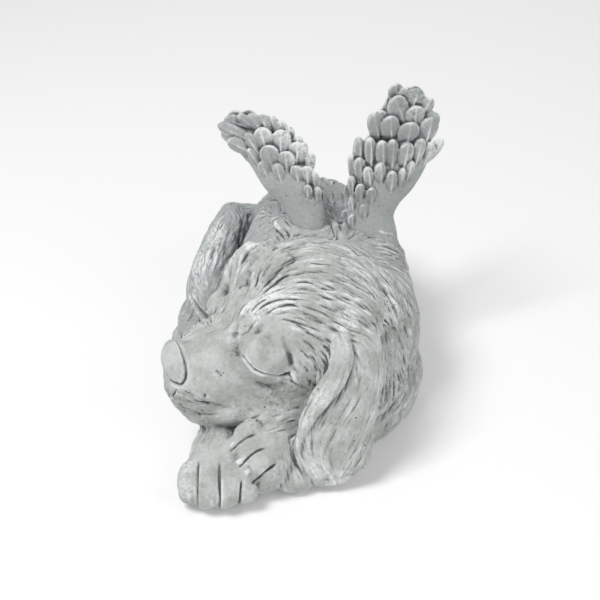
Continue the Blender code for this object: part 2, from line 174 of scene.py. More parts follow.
# %% The carved skin
class Skin:
    """The points and outward directions of a finely meshed piece, in millimetres."""

    def __init__(self, piece):
        self.piece = piece
        self.read()

    def read(self):
        mesh = self.piece.data
        flat = np.empty(len(mesh.vertices) * 3, np.float32)
        mesh.vertices.foreach_get("co", flat)
        self.points = flat.reshape(-1, 3).astype(float) / MM
        mesh.vertices.foreach_get("normal", flat)
        self.outward = flat.reshape(-1, 3).astype(float)

    def push(self, heights):
        """Moves every point along its outward direction by its height."""
        self.move(self.outward * heights[:, None])

    def move(self, steps):
        self.points += steps
        self.piece.data.vertices.foreach_set("co", (self.points * MM).astype(np.float32).ravel())
        self.piece.data.update()
        self.read()

    def tree(self):
        return BVHTree.FromPolygons(
            self.points.tolist(), [face.vertices[:] for face in self.piece.data.polygons]
        )


def edge_array(mesh):
    flat = np.empty(len(mesh.edges) * 2, np.int32)
    mesh.edges.foreach_get("vertices", flat)
    return flat.reshape(-1, 2)


def spread(values, edges, rounds):
    """Averages the values over neighbouring points, a number of times."""
    count = len(values)
    ends = np.concatenate((edges[:, 0], edges[:, 1]))
    others = np.concatenate((edges[:, 1], edges[:, 0]))
    degree = np.maximum(np.bincount(ends, minlength=count), 1)
    values = values.reshape(count, -1)
    for _ in range(rounds):
        values = np.column_stack(
            [np.bincount(ends, column[others], minlength=count) / degree for column in values.T]
        )
    return values


STATUE_REACHES = range(560, 960, 5)


def drop(tree, x, y):
    """Where the camera's ray through a pixel first meets the surface, or passes nearest to it.

    STATUE_REACHES are the distances from the camera, in mm, between which the statue lies.
    """
    ray = ray_through(x, y)
    hit = tree.ray_cast(EYE / MM, ray)[0]
    if hit is None:
        passes = [tree.find_nearest(EYE / MM + ray * reach) for reach in STATUE_REACHES]
        hit = min(passes, key=lambda found: found[3])[0]
    return np.array(hit)


# %% [markdown]
# ## The clay under the coat
#
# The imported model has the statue's mass, pose and main locks in flat facets. A copy of it is
# melted into clay: its loose triangles are merged, its wings are cut away because they are
# modelled again with real feathers, and a voxel skin with a little smoothing takes the facets
# and the rough locks off. Subdividing the facets would keep their edges, so it isn't done. The
# node itself is left alone, as the frame asks.

# %% A copy of the casting without its wings
CLAY_VOXEL = 0.9
CLAY_SMOOTHING = 22
BACK_TOP = 89.0
WINGS_START = 21.0
CUTTER_WIDTH = 300.0
CUTTER_SIDE = 120.0

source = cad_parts["sleeping_puppy"]
clay = bpy.data.objects.new("clay", source.data.copy())
clay.data.materials.clear()
bpy.context.scene.collection.objects.link(clay)
select_only(clay)
bpy.ops.object.mode_set(mode="EDIT")
bpy.ops.mesh.select_all(action="SELECT")
bpy.ops.mesh.remove_doubles(threshold=0.01 * MM)
bpy.ops.object.mode_set(mode="OBJECT")

# The cutter is a box whose lower front edge lies where the wings start on the back.
cutter_place = (0, (WINGS_START + CUTTER_SIDE / 2) * MM, (BACK_TOP + CUTTER_SIDE / 2) * MM)
bpy.ops.mesh.primitive_cube_add(size=1, location=cutter_place)
wing_cutter = bpy.context.active_object
wing_cutter.scale = (CUTTER_WIDTH * MM, CUTTER_SIDE * MM, CUTTER_SIDE * MM)
bpy.ops.object.transform_apply(location=True, rotation=True, scale=True)
apply_modifier(clay, "BOOLEAN", object=wing_cutter, operation="DIFFERENCE", solver="EXACT")
bpy.data.objects.remove(wing_cutter)

voxel_skin(clay, CLAY_VOXEL, CLAY_SMOOTHING)
print("clay:", face_count(clay), "triangles")

# %% [markdown]
# ## Forms pressed onto the clay
#
# Lids, toes and ears are rounded lengths of clay pressed onto the mass. Each is a ball, or a ball
# drawn out along a curve, whose width and thickness change on the way. Where a form is seen in
# the picture its line is typed in pixels and dropped onto the clay, with the depth that it is
# sunk by. A form that has a set place on the head is typed in millimetres in the head's own axes.
# Metaballs could make such forms too, but they swell where they meet, and a drawn-out ball keeps
# the size that is typed.

# %% Drawn-out balls
HEAD_CENTRE = np.array((5.0, -38.0, 75.0))
HEAD_YAW = math.radians(65.0)
HEAD_FORWARD = np.array((-math.sin(HEAD_YAW), -math.cos(HEAD_YAW), 0.0))
HEAD_LEFT = np.array((math.cos(HEAD_YAW), -math.sin(HEAD_YAW), 0.0))
HEAD_UP = np.array((0.0, 0.0, 1.0))

clay_tree = Skin(clay).tree()


def head_point(forward, left, up):
    """A point in the head's own axes: forward along the muzzle, left to its left ear, and up."""
    return HEAD_CENTRE + forward * HEAD_FORWARD + left * HEAD_LEFT + up * HEAD_UP


def at_left(x, y, left):
    """The point on a pixel's ray that lies this far left of the head's middle plane, in mm."""
    ray, eye = np.array(ray_through(x, y)), np.array(EYE) / MM
    return eye + ray * (left - (eye - HEAD_CENTRE) @ HEAD_LEFT) / (ray @ HEAD_LEFT)


CURVE_STEPS = 400


def limb(name, stations, across, rings=48, sides=28, cap=0.08):
    """A ball drawn out along a curve: stations hold x, y, z, half width and half thickness.

    across is the direction of the width, one for all the stations or one for each. cap is the
    share of the length over which each end is rounded.
    """
    bpy.ops.object.select_all(action="DESELECT")
    bpy.ops.mesh.primitive_uv_sphere_add(segments=sides, ring_count=rings, radius=1)
    made = bpy.context.active_object
    made.name = name
    flat = np.empty(len(made.data.vertices) * 3, np.float32)
    made.data.vertices.foreach_get("co", flat)
    sphere = flat.reshape(-1, 3).astype(float)
    share = np.arccos(np.clip(-sphere[:, 2], -1, 1)) / math.pi
    around = np.arctan2(sphere[:, 1], sphere[:, 0])
    rows = smooth_curve(stations, CURVE_STEPS)
    across = np.broadcast_to(np.asarray(across, float), (len(stations), 3))
    axes = smooth_curve(across, CURVE_STEPS)
    along = unit(np.gradient(rows[:, :3], axis=0))
    side = unit(axes - along * (axes * along).sum(1, keepdims=True))
    up = np.cross(along, side)
    i = np.clip((share * (CURVE_STEPS - 1)).round().astype(int), 0, CURVE_STEPS - 1)
    end = np.clip(np.minimum(share, 1 - share) / cap, 0, 1)
    swell = np.sqrt(1 - (1 - end) ** 2)
    aside = side[i] * (np.cos(around) * rows[i, 3] * swell)[:, None]
    above = up[i] * (np.sin(around) * rows[i, 4] * swell)[:, None]
    placed = rows[i, :3] + aside + above
    made.data.vertices.foreach_set("co", (placed * MM).astype(np.float32).ravel())
    made.data.update()
    face_outward(made)
    return made


def ball(name, centre, radii, forward=HEAD_FORWARD):
    """An egg of clay, with its radii along forward, sideways and up."""
    bpy.ops.object.select_all(action="DESELECT")
    bpy.ops.mesh.primitive_ico_sphere_add(subdivisions=4, radius=1)
    made = bpy.context.active_object
    made.name = name
    forward = unit(forward)
    side = unit(np.cross(HEAD_UP, forward))
    up = np.cross(forward, side)
    axes = np.column_stack((forward * radii[0], side * radii[1], up * radii[2])) * MM
    place = Matrix(axes.tolist()).to_4x4()
    place.translation = Vector(np.asarray(centre, float) * MM)
    made.data.transform(place)
    return made


RIDGE_FLATNESS = 0.8


def ridge(name, marks, **settings):
    """A length of clay laid along pixels: each mark is x, y, radius and how far it is sunk."""
    stations = []
    for x, y, radius, sunk in marks:
        point = drop(clay_tree, x, y) + np.array(ray_through(x, y)) * sunk
        stations.append((*point, radius, radius * RIDGE_FLATNESS))
    line = np.array(stations)[:, :3]
    view = np.array(ray_through(*marks[len(marks) // 2][:2]))
    across = unit(np.cross(line[-1] - line[0], view))
    return limb(name, stations, across, **settings)


# %% The face
nose_forward = HEAD_FORWARD + 0.1 * HEAD_UP

face = []
for side_name, side in (("near", 1), ("far", -1)):
    face.append(ball(side_name + "_lid", head_point(41.5, 22.6 * side, 0.5), (9, 10, 11.5)))
    face.append(ball(side_name + "_outer_fold", head_point(29.5, 25.6 * side, 3.5), (6.2, 8.6, 11)))
face += [
    ball("nose_pad", head_point(77.6, -0.5, -7.5), (6.2, 12.4, 10.4), unit(nose_forward)),
    ball("cheek_fill", head_point(20, 26, -30), (17, 10, 12)),
    ball("jaw_rest", head_point(28, 27, -38), (20, 12, 9)),
    ridge("near_brow", [
        (240, 328, 2.6, 1.6), (246, 315, 3.2, 1.4), (256, 306, 3.6, 1.6), (272, 301, 4, 2),
        (290, 303, 4, 2.4), (306, 314, 3.2, 2.4),
    ]),
]
print("face:", len(face), "forms")

# %% [markdown]
# ## Ears and paws
#
# The near ear hangs from a narrow rolled root, widens to a round lobe near the ground and has a
# rolled front rim. The far ear is folded along the head's far edge, so its forms are laid on the
# camera's rays at typed distances behind that edge. The paws are fans of plump toes.

# %% The ears
near_ear = [
    limb("near_ear_flap", [
        (26, -57, 88, 9, 6), (28.5, -67, 81, 12.5, 5), (30, -76, 66, 14, 4.2), (25, -84.5, 51, 17.5, 3.9),
        (19.5, -89.5, 38, 20.5, 3.9), (18, -92.5, 26, 20.8, 4), (17.8, -95.5, 15.5, 18.5, 4),
        (18.5, -97, 8.5, 13.5, 3.6),
    ], (1, 0.15, 0), rings=70, sides=36, cap=0.1),
    limb("near_ear_roll", [
        (21.5, -64, 87, 5, 5), (21, -72, 81, 5.8, 5.2), (21.5, -79, 73, 6, 5), (19, -84.5, 64, 5.2, 4.4),
        (12, -89, 54, 4, 3.6), (5, -92.5, 45, 3, 3), (0.5, -94.5, 35, 2.4, 2.6), (-1, -96, 24, 2, 2.2),
        (2, -98, 13.5, 1.8, 2),
    ], (1, 0, 0), rings=70),
]


def far_limb(name, *marks):
    """A limb on the far side: each mark is x, y in pixels, how far left, half width and thickness."""
    stations = [(*at_left(x, y, left), width, thickness) for x, y, left, width, thickness in marks]
    return limb(name, stations, (1, 0, 0.3), rings=70)


far_ear = [
    far_limb("far_ear_flap", (268, 249, -8, 7, 4), (254, 252, -13, 7.5, 4), (243, 262, -18, 7.5, 4),
             (236, 276, -22, 7, 4), (230, 290, -25, 6.5, 4), (225, 303, -26, 5.5, 3.6),
             (220, 314, -25, 4, 3)),
    ball("far_ear_fill", at_left(250, 285, -12), (12, 8, 15)),
    ball("far_crown_fill", at_left(272, 270, -5), (13, 10, 13)),
    ball("far_ear_back", at_left(263, 265, -19), (11, 10, 10)),
    ball("far_ear_tip", at_left(256, 275, -26), (10, 9, 10)),
    far_limb("far_ear_rim", (254, 243, -12, 2.0, 2.6), (246, 247, -15, 2.4, 3), (236, 258, -20, 2.6, 3),
             (229, 273, -24, 2.6, 3), (224, 288, -27, 2.4, 3), (218, 303, -28, 2.0, 2.6)),
]
print("ears:", len(near_ear) + len(far_ear), "forms")

# %% The paws
paws = [
    ridge("right_toe_1", [(193, 460, 6.0, 4.4), (189.5, 480, 6.8, 4.4), (189, 498, 6.0, 4.6)], cap=0.35),
    ridge("right_toe_2", [(208, 458, 6.6, 4.6), (208.5, 482, 7.4, 4.4), (208.5, 505, 6.4, 4.8)], cap=0.35),
    ridge("right_toe_3", [(231, 462, 6.6, 4.8), (231, 484, 7.6, 4.8), (230, 505, 6.6, 4.8)], cap=0.35),
    ridge("right_toe_4", [(246, 482, 5.2, 4.2), (248, 492, 5.6, 4.2), (246, 501, 5.0, 4.2)], cap=0.4),
    ridge("left_toe_1", [(262, 427, 6.0, 4.4), (248, 433, 6.4, 4.2), (235, 443, 5.4, 3.8)], cap=0.35),
    ridge("left_toe_2", [(268, 440, 6.4, 4.8), (254, 449, 6.8, 4.6), (240, 460, 5.6, 4.0)], cap=0.35),
    ridge("left_toe_3", [(274, 452, 6.6, 4.8), (262, 462, 6.8, 4.6), (248, 472, 5.8, 4.0)], cap=0.35),
    ridge("left_toe_4", [(280, 460, 5.4, 4.4), (272, 473, 5.8, 4.4), (260, 483, 5.2, 4.2)], cap=0.35),
]
print("paws:", len(paws), "toes")

# %% One skin
SKIN_VOXEL = 0.62
SKIN_SMOOTHING = 5

statue = join_as("sleeping_puppy", [clay, *face, *near_ear, *far_ear, *paws])
voxel_skin(statue, SKIN_VOXEL, SKIN_SMOOTHING)

# Places where a form is melted into the clay around it: centre, radius and share of the melting.
BLENDS = [
    (head_point(36, 26, 2), 24, 0.6),
    (head_point(36, -26, 2), 24, 0.6),
    (head_point(76, 0, -8), 19, 0.8),
    (head_point(24, 26, -34), 22, 1.0),
    (at_left(246, 274, -18), 32, 1.0),
    (head_point(24, 18, 18), 16, 0.6),
    (np.array((-46.0, -108.0, 20.0)), 32, 0.5),
]
MELTING = 34
BLEND_FADE = 2.5

skin = Skin(statue)
melted = spread(skin.points, edge_array(statue.data), MELTING)
melting = np.zeros(len(skin.points))
for centre, radius, most in BLENDS:
    away = np.linalg.norm(skin.points - centre, axis=1) / radius
    melting = np.maximum(melting, most * np.clip(BLEND_FADE - BLEND_FADE * away, 0, 1))
skin.move((melted - skin.points) * melting[:, None])
skin_tree = skin.tree()
print("skin:", len(skin.points), "points")

# %% [markdown]
# ## Lines cut with a tool
#
# The lid, the mouth, the nose's edge and the gaps between the toes are lines cut into the clay. A
# cut is deepest along its line and fades to its sides and to both ends. A Boolean with a thin
# cutter would leave a hard slot, but a tool pressed into clay leaves soft lips, as these do.

# %% Cuts
def line_distance(points, line):
    """Each point's distance to a line of points, and its share of the way along."""
    nearest = np.full(len(points), np.inf)
    share = np.zeros(len(points))
    for number, (a, b) in enumerate(zip(line[:-1], line[1:])):
        span = b - a
        t = np.clip((points - a) @ span / max(span @ span, 1e-9), 0.0, 1.0)
        away = np.linalg.norm(points - a - t[:, None] * span, axis=1)
        closer = away < nearest
        nearest[closer] = away[closer]
        share[closer] = (number + t[closer]) / (len(line) - 1)
    return nearest, share


def cut_heights(skin, cuts):
    """The heights that press the cuts in. Each cut is a line of points, a half width and a depth."""
    pressed = np.zeros(len(skin.points))
    for line, width, depth in cuts:
        low, high = line.min(0) - width - 1, line.max(0) + width + 1
        near = np.nonzero(((skin.points > low) & (skin.points < high)).all(1))[0]
        away, share = line_distance(skin.points[near], line)
        taper = np.clip(5 * np.minimum(share, 1 - share) + 0.25, 0.0, 1.0)
        profile = np.clip(1 - (away / width) ** 2, 0.0, 1.0)
        pressed[near] = np.maximum(pressed[near], depth * taper * profile)
    return -pressed


DRAWN_STEP = 2
FEWEST_STEPS = 4


def line_length(line):
    """The length of a line of points, in their own unit."""
    return np.linalg.norm(np.diff(np.asarray(line, float), axis=0), axis=1).sum()


def drawn(*pixels):
    """A smooth line drawn over the picture and dropped onto the skin all along."""
    steps = max(FEWEST_STEPS, int(line_length(pixels) / DRAWN_STEP))
    return np.array([drop(skin_tree, x, y) for x, y in smooth_curve(pixels, steps)])


def mirrored(line):
    """The same line on the far side of the head, laid onto the skin there."""
    others = line - 2 * ((line - HEAD_CENTRE) @ HEAD_LEFT)[:, None] * HEAD_LEFT
    return np.array([skin_tree.find_nearest(Vector(point))[0] for point in others])


# %% The lines of the face
# Each line has its half width and depth in millimetres, and then its pixels.
LINES_ON_BOTH_SIDES = {
    "lid": (1.15, 1.9, (240, 354), (244, 358), (252, 368), (260, 373), (268, 375), (277, 376), (285, 375),
            (291, 372)),
    "outer fold": (2.0, 1.3, (281, 332), (285, 341), (288, 351), (291, 361), (292, 369)),
    "lower lid": (3.0, 0.9, (253, 381), (264, 386), (276, 386), (287, 381)),
    "inner brow": (3.2, 1.1, (266, 322), (260, 328), (254, 334), (247, 343), (242, 353)),
    "inner corner": (2.6, 0.8, (238, 322), (235, 332), (234, 343), (237, 352), (241, 356)),
    "mouth": (1.1, 0.9, (176, 391), (184, 395), (192, 399), (201, 402), (212, 403)),
    "lower mouth": (1.2, 0.7, (181, 406), (190, 411), (200, 414), (210, 415), (219, 414)),
}
LINES_ON_ONE_SIDE = {
    "nose edge": (1.25, 1.2, (170, 337), (178, 342), (183, 354), (186, 368), (185, 379), (180, 385),
                  (172, 382), (166, 374)),
    "bridge": (1.8, 0.5, (180, 345), (194, 337), (208, 332), (220, 328)),
    "dimple": (1.3, 0.7, (215, 370), (219, 373), (222, 377)),
    "under the nose": (1.1, 1.0, (168, 379), (173, 383), (179, 383)),
    "hock": (2.4, 1.8, (189, 288), (192, 298), (197, 307), (204, 315), (210, 319)),
    "far ear hollow": (3.6, 1.3, (260, 254), (254, 261), (249, 270), (246, 281), (243, 292)),
}


def drawn_cuts(lines):
    """The lines as cuts: each dropped onto the skin, with its half width and its depth."""
    return [(drawn(*pixels), width, depth) for width, depth, *pixels in lines]


cuts = drawn_cuts(LINES_ON_BOTH_SIDES.values())
cuts += [(mirrored(line), width, depth) for line, width, depth in cuts]
cuts += drawn_cuts(LINES_ON_ONE_SIDE.values())
print("lines of the face:", len(cuts))

# %% Nicks around the mouth
# The tool slipped and dug in here: short slashes of uneven length, lean and depth, at these pixels.
NICKS = (
    (176, 390), (180, 393), (185, 393), (188, 397), (193, 397), (197, 400), (203, 399), (207, 403),
    (182, 406), (187, 409), (193, 411), (200, 413), (206, 414), (172, 396), (175, 404), (179, 413),
)
NICK_WANDER = 2.5

chance = np.random.default_rng(8)
for x, y in NICKS:
    length, lean = chance.uniform(1.5, 8), chance.uniform(-2.0, 0.8)
    x, y = x + chance.uniform(-NICK_WANDER, NICK_WANDER), y + chance.uniform(-NICK_WANDER, NICK_WANDER)
    nick = drawn((x + length * lean * 0.6, y - length * 0.6), (x, y), (x - lean * 1.5, y + 1.5))
    cuts.append((nick, chance.uniform(0.6, 1.0), chance.uniform(0.5, 1.5)))
print("nicks:", len(NICKS))

# %% Toes and claws
TOE_GAP = (0.9, 1.35)
TOE_GAPS = [
    ((198.5, 462), (197.5, 472), (197, 486), (197, 498), (198, 508)),
    ((219.5, 462), (219.5, 476), (219.5, 490), (219.5, 502), (219, 512)),
    ((242, 480), (241, 491), (240, 501), (238, 509)),
    ((256, 434), (247, 438), (238, 444), (230, 451)),
    ((265, 448), (256, 452), (247, 459), (239, 467)),
    ((276, 464), (268, 470), (260, 477), (252, 484)),
]
# A claw, and the pale edge of the far ear, is a line raised instead of pressed in.
RAISED_LINES = [
    (1.9, 1.0, (236, 443), (230.5, 447)),
    (1.9, 1.0, (242, 460), (236, 463.5)),
    (1.9, 1.0, (250, 470), (244.5, 474)),
    (1.8, 0.9, (188.5, 495), (190, 502)),
    (1.8, 0.9, (211, 499), (212.5, 506)),
    (1.3, 0.8, (264, 244), (254, 245), (246, 251), (241, 260), (238, 272), (235, 284), (231, 296)),
]

cuts += drawn_cuts([(*TOE_GAP, *pixels) for pixels in TOE_GAPS])
skin.push(cut_heights(skin, cuts))
skin.push(-cut_heights(skin, drawn_cuts(RAISED_LINES)))
print("cuts:", len(cuts), "raised lines:", len(RAISED_LINES))

# %% [markdown]
# ## The coat
#
# The coat is carved as locks of hair: soft tufts that follow the way the hair lies, with long
# grooves between the locks and fine ones over them. Typing thousands of strokes isn't needed.
# Guides say which way the hair lies along some fifty lines, each with its depth and the length of
# its strokes, and every stroke starts somewhere on the skin and follows the nearest guides.

# %% Guides for the lie of the hair
def dropped(depth, length, *pixels):
    """A guide typed in pixels and dropped onto the skin."""
    return (drawn(*pixels), depth, length)


def laid(depth, length, *points):
    """A guide typed in millimetres and laid onto the skin."""
    line = smooth_curve(points, 4 * len(points))
    return (np.array([skin_tree.find_nearest(Vector(p))[0] for p in line]), depth, length)


guides = [
    # brow and crown, from the eye back over the head
    dropped(0.85, 16, (246, 318), (254, 308), (268, 300), (290, 298), (315, 306), (340, 318), (358, 327)),
    dropped(0.85, 19, (262, 300), (275, 290), (300, 286), (325, 292), (350, 303), (370, 318), (380, 332)),
    dropped(0.85, 19, (272, 285), (285, 275), (310, 270), (340, 276), (362, 290), (378, 308), (386, 328)),
    dropped(0.85, 19, (268, 272), (282, 260), (305, 254), (332, 256), (358, 268), (376, 284), (388, 304)),
    dropped(0.85, 19, (262, 262), (278, 248), (300, 243), (330, 243), (358, 255), (380, 274), (393, 296)),
    dropped(0.8, 12, (248, 300), (254, 285), (262, 268), (276, 250), (296, 240), (320, 237)),
    # the far ear and the forehead
    dropped(0.3, 14, (262, 246), (252, 254), (243, 266), (236, 282), (229, 300), (221, 316)),
    dropped(0.35, 14, (264, 260), (254, 272), (245, 290), (238, 306)),
    dropped(0.4, 10, (224, 326), (233, 312), (240, 298), (247, 282)),
    # the muzzle and the cheek
    dropped(0.16, 12, (186, 350), (200, 343), (218, 337), (236, 338)),
    dropped(0.16, 12, (192, 362), (206, 364), (222, 364), (236, 368)),
    dropped(0.18, 11, (196, 380), (212, 386), (228, 390), (246, 396)),
    dropped(0.18, 11, (194, 420), (206, 424), (222, 420), (240, 412)),
    dropped(0.22, 10, (240, 384), (256, 394), (276, 400), (296, 396)),
    # temple tufts
    dropped(0.8, 8, (300, 322), (312, 328), (326, 334)),
    dropped(0.8, 8, (302, 340), (312, 348), (322, 358)),
    dropped(0.7, 8, (300, 356), (308, 368), (312, 380)),
    # the near ear
    dropped(0.42, 18, (348, 334), (364, 338), (375, 352), (379, 372), (376, 395), (369, 420), (361, 445),
            (348, 468)),
    dropped(0.42, 18, (356, 352), (362, 368), (361, 385), (352, 403), (339, 422), (328, 442), (322, 460),
            (330, 474)),
    dropped(0.42, 18, (339, 342), (342, 356), (336, 372), (322, 389), (309, 405), (303, 425), (305, 448),
            (315, 466)),
    # the right shoulder and the near foreleg in the picture
    dropped(0.7, 8, (392, 312), (400, 335), (406, 365), (407, 395), (400, 420)),
    dropped(0.7, 8, (386, 335), (388, 360), (390, 385), (388, 412), (382, 438)),
    dropped(0.6, 12, (415, 392), (408, 415), (395, 435), (378, 452)),
    # thigh, flank and the gap behind it
    dropped(0.7, 12, (238, 200), (224, 206), (208, 226), (195, 250), (190, 275), (200, 300), (209, 318)),
    dropped(0.7, 12, (243, 218), (232, 236), (222, 262), (213, 290), (207, 310)),
    dropped(0.5, 9, (262, 196), (256, 212), (248, 230)),
    dropped(0.5, 9, (300, 205), (284, 214), (268, 226), (256, 238)),
    dropped(0.5, 9, (332, 190), (334, 205), (336, 222)),
    # forelegs
    dropped(0.5, 9, (205, 428), (198, 443), (192, 458)),
    dropped(0.5, 9, (298, 414), (280, 418), (264, 423), (248, 430)),
    dropped(0.4, 8, (200, 298), (190, 307), (182, 320)),
    # the left flank, shoulder and haunch
    laid(0.8, 14, (28, -50, 96), (52, -44, 76), (66, -40, 50), (62, -36, 26)),
    laid(0.8, 14, (30, -2, 98), (58, 4, 86), (74, 10, 60), (78, 18, 28)),
    laid(0.8, 14, (48, 20, 90), (72, 32, 70), (78, 48, 40), (74, 60, 12)),
    laid(0.8, 14, (30, 96, 92), (46, 112, 74), (54, 124, 44), (50, 128, 14)),
    laid(0.8, 14, (45, 60, 88), (62, 75, 70), (70, 90, 42), (64, 100, 14)),
    laid(0.7, 12, (72, -20, 30), (62, -48, 26), (44, -68, 22), (26, -84, 18)),
    # the back and the rump
    laid(0.7, 14, (22, 20, 90), (20, 50, 92), (16, 80, 92), (8, 105, 80)),
    laid(0.7, 14, (-12, 30, 90), (-14, 60, 92), (-14, 85, 88)),
    laid(0.7, 14, (10, 112, 75), (8, 125, 50), (6, 130, 22)),
    laid(0.7, 14, (-20, 112, 72), (-24, 124, 45), (-20, 126, 18)),
    # the right flank, thigh and tail
    laid(0.7, 13, (-30, 10, 92), (-44, 24, 66), (-50, 34, 42), (-48, 42, 18)),
    laid(0.7, 13, (-18, 78, 95), (-34, 90, 82), (-40, 88, 66), (-44, 80, 56)),
    laid(0.7, 13, (-38, 108, 66), (-56, 90, 60), (-70, 70, 48), (-74, 54, 32)),
    laid(0.7, 13, (-50, 112, 28), (-66, 92, 28), (-76, 72, 22), (-78, 56, 16)),
    laid(0.6, 12, (6, 124, 30), (-18, 124, 14), (-42, 116, 10), (-60, 100, 8)),
    laid(0.7, 12, (-24, -20, 44), (-40, -46, 30), (-50, -70, 26), (-54, -86, 22)),
    # the far side of the head
    laid(0.8, 14, *[head_point(*p) for p in ((30, -24, 28), (6, -24, 36), (-20, -20, 34), (-40, -8, 20))]),
    laid(0.6, 12, *[head_point(*p) for p in ((24, -36, 8), (28, -38, -8), (30, -38, -22))]),
]
print("guides:", len(guides))

# %% The lie of the hair over the whole skin
GUIDE_STEP = 2.2
FIELD_CELL = 2.4
FIELD_SEED = 10

marks, headings, depths, lengths, faces_out = [], [], [], [], []
for line, depth, length in guides:
    line = smooth_curve(line, max(FEWEST_STEPS, int(line_length(line) / GUIDE_STEP)))
    marks.append(line)
    headings.append(unit(np.gradient(line, axis=0)))
    depths += [depth] * len(line)
    lengths += [length] * len(line)
    faces_out += [skin_tree.find_nearest(Vector(p))[1] for p in line]
marks, headings = np.vstack(marks), np.vstack(headings)
depths, lengths, faces_out = np.array(depths), np.array(lengths), np.array(faces_out)

# Places without hair: centre and radius in millimetres.
BARE = [
    (head_point(80, 0, -8), 15),
    (head_point(41, 26, 1), 12.5),
    (head_point(30, 28, 3), 11),
    (head_point(34, 24, 13), 8),
    (head_point(41, -26, 1), 12.5),
    (head_point(30, -28, 3), 11),
    (np.array((-46.0, -114.0, 12.0)), 24),
    (np.array((-30.0, -104.0, 24.0)), 20),
]


BARE_FOOT = 1.5
FOOT_FADE = 4


def hair_share(points):
    """How much of the coat grows at each point: none on the bare places and near the ground."""
    share = np.clip((points[:, 2] - BARE_FOOT) / FOOT_FADE, 0, 1)
    for centre, radius in BARE:
        away = np.linalg.norm(points - centre, axis=1) / radius
        share *= np.clip((away - 0.8) / 0.35, 0, 1)
    return share


def thinned(points, cell, seed):
    """One point at random in each cell of a grid, as indices."""
    order = np.random.default_rng(seed).permutation(len(points))
    keys = np.floor(points[order] / cell).astype(int)
    first = np.unique(keys, axis=0, return_index=True)[1]
    return np.sort(order[first])


def point_tree(points):
    """The points sorted for finding the nearest ones."""
    tree = KDTree(len(points))
    for i, point in enumerate(points):
        tree.insert(point, i)
    tree.balance()
    return tree


BLOCK = 3000
NEARBY = 9
TURNED_AWAY = 0.02


def lie_of_hair(points, outward):
    """The direction, depth and length of the hair at each point, from the guides around it.

    A guide counts for more the nearer it lies, within a few mm (NEARBY is that distance squared),
    and for almost nothing where its skin faces away. The points are taken a block at a time.
    """
    direction = np.zeros_like(points)
    depth = np.zeros(len(points))
    length = np.zeros(len(points))
    for first in range(0, len(points), BLOCK):
        block = slice(first, first + BLOCK)
        away = ((points[block, None] - marks[None]) ** 2).sum(2)
        facing = np.clip(outward[block] @ faces_out.T, 0, 1) + TURNED_AWAY
        weight = facing / (away + NEARBY) ** 2
        weight /= weight.sum(1, keepdims=True)
        direction[block] = weight @ headings
        depth[block] = weight @ depths
        length[block] = weight @ lengths
    direction -= outward * (direction * outward).sum(1, keepdims=True)
    return unit(direction), depth, length


field = thinned(skin.points, FIELD_CELL, FIELD_SEED)
field_tree = point_tree(skin.points[field])
field_direction, field_depth, field_length = lie_of_hair(skin.points[field], skin.outward[field])
print("field:", len(field), "points")

# %% [markdown]
# A stroke starts somewhere on the skin and feels its way along the hair, a step at a time. Soft
# tufts are raised first. Then long grooves are drawn between the locks with the edge of a tool,
# and fine ones with its point, as hair is cut into a model for a mould.

# %% Strokes
STROKE_STEP = 1.3
MOST_STEPS = 17
LEAST_HAIR = 0.15
LENGTH_CHANCE = (0.55, 1.25)
STRENGTH_CHANCE = (0.6, 1.2)
WIDTH_CHANCE = (0.75, 1.2)


def comb(cell, seed, half_width, wander, reach):
    """Lines along the hair from thinned points, each with its half width and its strength."""
    random = np.random.default_rng(seed)
    starts = thinned(skin.points, cell, seed)
    place, outward = skin.points[starts], skin.outward[starts]
    share = hair_share(place)
    place, outward = place[share > LEAST_HAIR], outward[share > LEAST_HAIR]
    lines = [place.copy()]
    nearest = [field_tree.find(p)[1] for p in place]
    length = field_length[nearest] * random.uniform(*LENGTH_CHANCE, len(place)) * reach
    strength = field_depth[nearest] * random.uniform(*STRENGTH_CHANCE, len(place))
    turn = random.normal(0, wander, len(place))
    for step in range(MOST_STEPS):
        direction = field_direction[nearest]
        sway = turn * math.cos(step * 0.4)
        direction = unit(direction + np.cross(outward, direction) * sway[:, None])
        place = place + direction * STROKE_STEP
        snapped = [skin_tree.find_nearest(Vector(p)) for p in place]
        place = np.array([hit[0] for hit in snapped])
        outward = np.array([hit[1] for hit in snapped])
        nearest = [field_tree.find(p)[1] for p in place]
        lines.append(place.copy())
    lines = np.array(lines).transpose(1, 0, 2)
    steps = np.clip((length / STROKE_STEP).astype(int), 3, MOST_STEPS)
    return [
        (line[: n + 1], half_width * random.uniform(*WIDTH_CHANCE), power)
        for line, n, power in zip(lines, steps, strength)
    ]


def stroke_heights(points, lookup, strokes):
    """How high the tallest stroke stands at each point: a rounded ridge, pointed at both ends."""
    best = np.zeros(len(points))
    for line, width, power in strokes:
        share = np.linspace(0, 1, len(line))
        leaf = np.sqrt(np.sin(math.pi * (0.06 + 0.9 * share)).clip(0.02))
        along = unit(np.gradient(line, axis=0))
        touched, owner = [], []
        for i, (sample, half) in enumerate(zip(line, width * leaf)):
            hits = [hit[1] for hit in lookup.find_range(sample, half + 0.4)]
            touched += hits
            owner += [i] * len(hits)
        if not touched:
            continue
        touched, owner = np.array(touched), np.array(owner)
        gap = points[touched] - line[owner]
        forward = (gap * along[owner]).sum(1)
        aside = (gap**2).sum(1) - forward**2
        profile = np.clip(1 - aside / (width * leaf[owner]) ** 2, 0, 1)
        profile = profile * (np.abs(forward) < STROKE_STEP)
        np.maximum.at(best, touched, profile * power * leaf[owner])
    return best


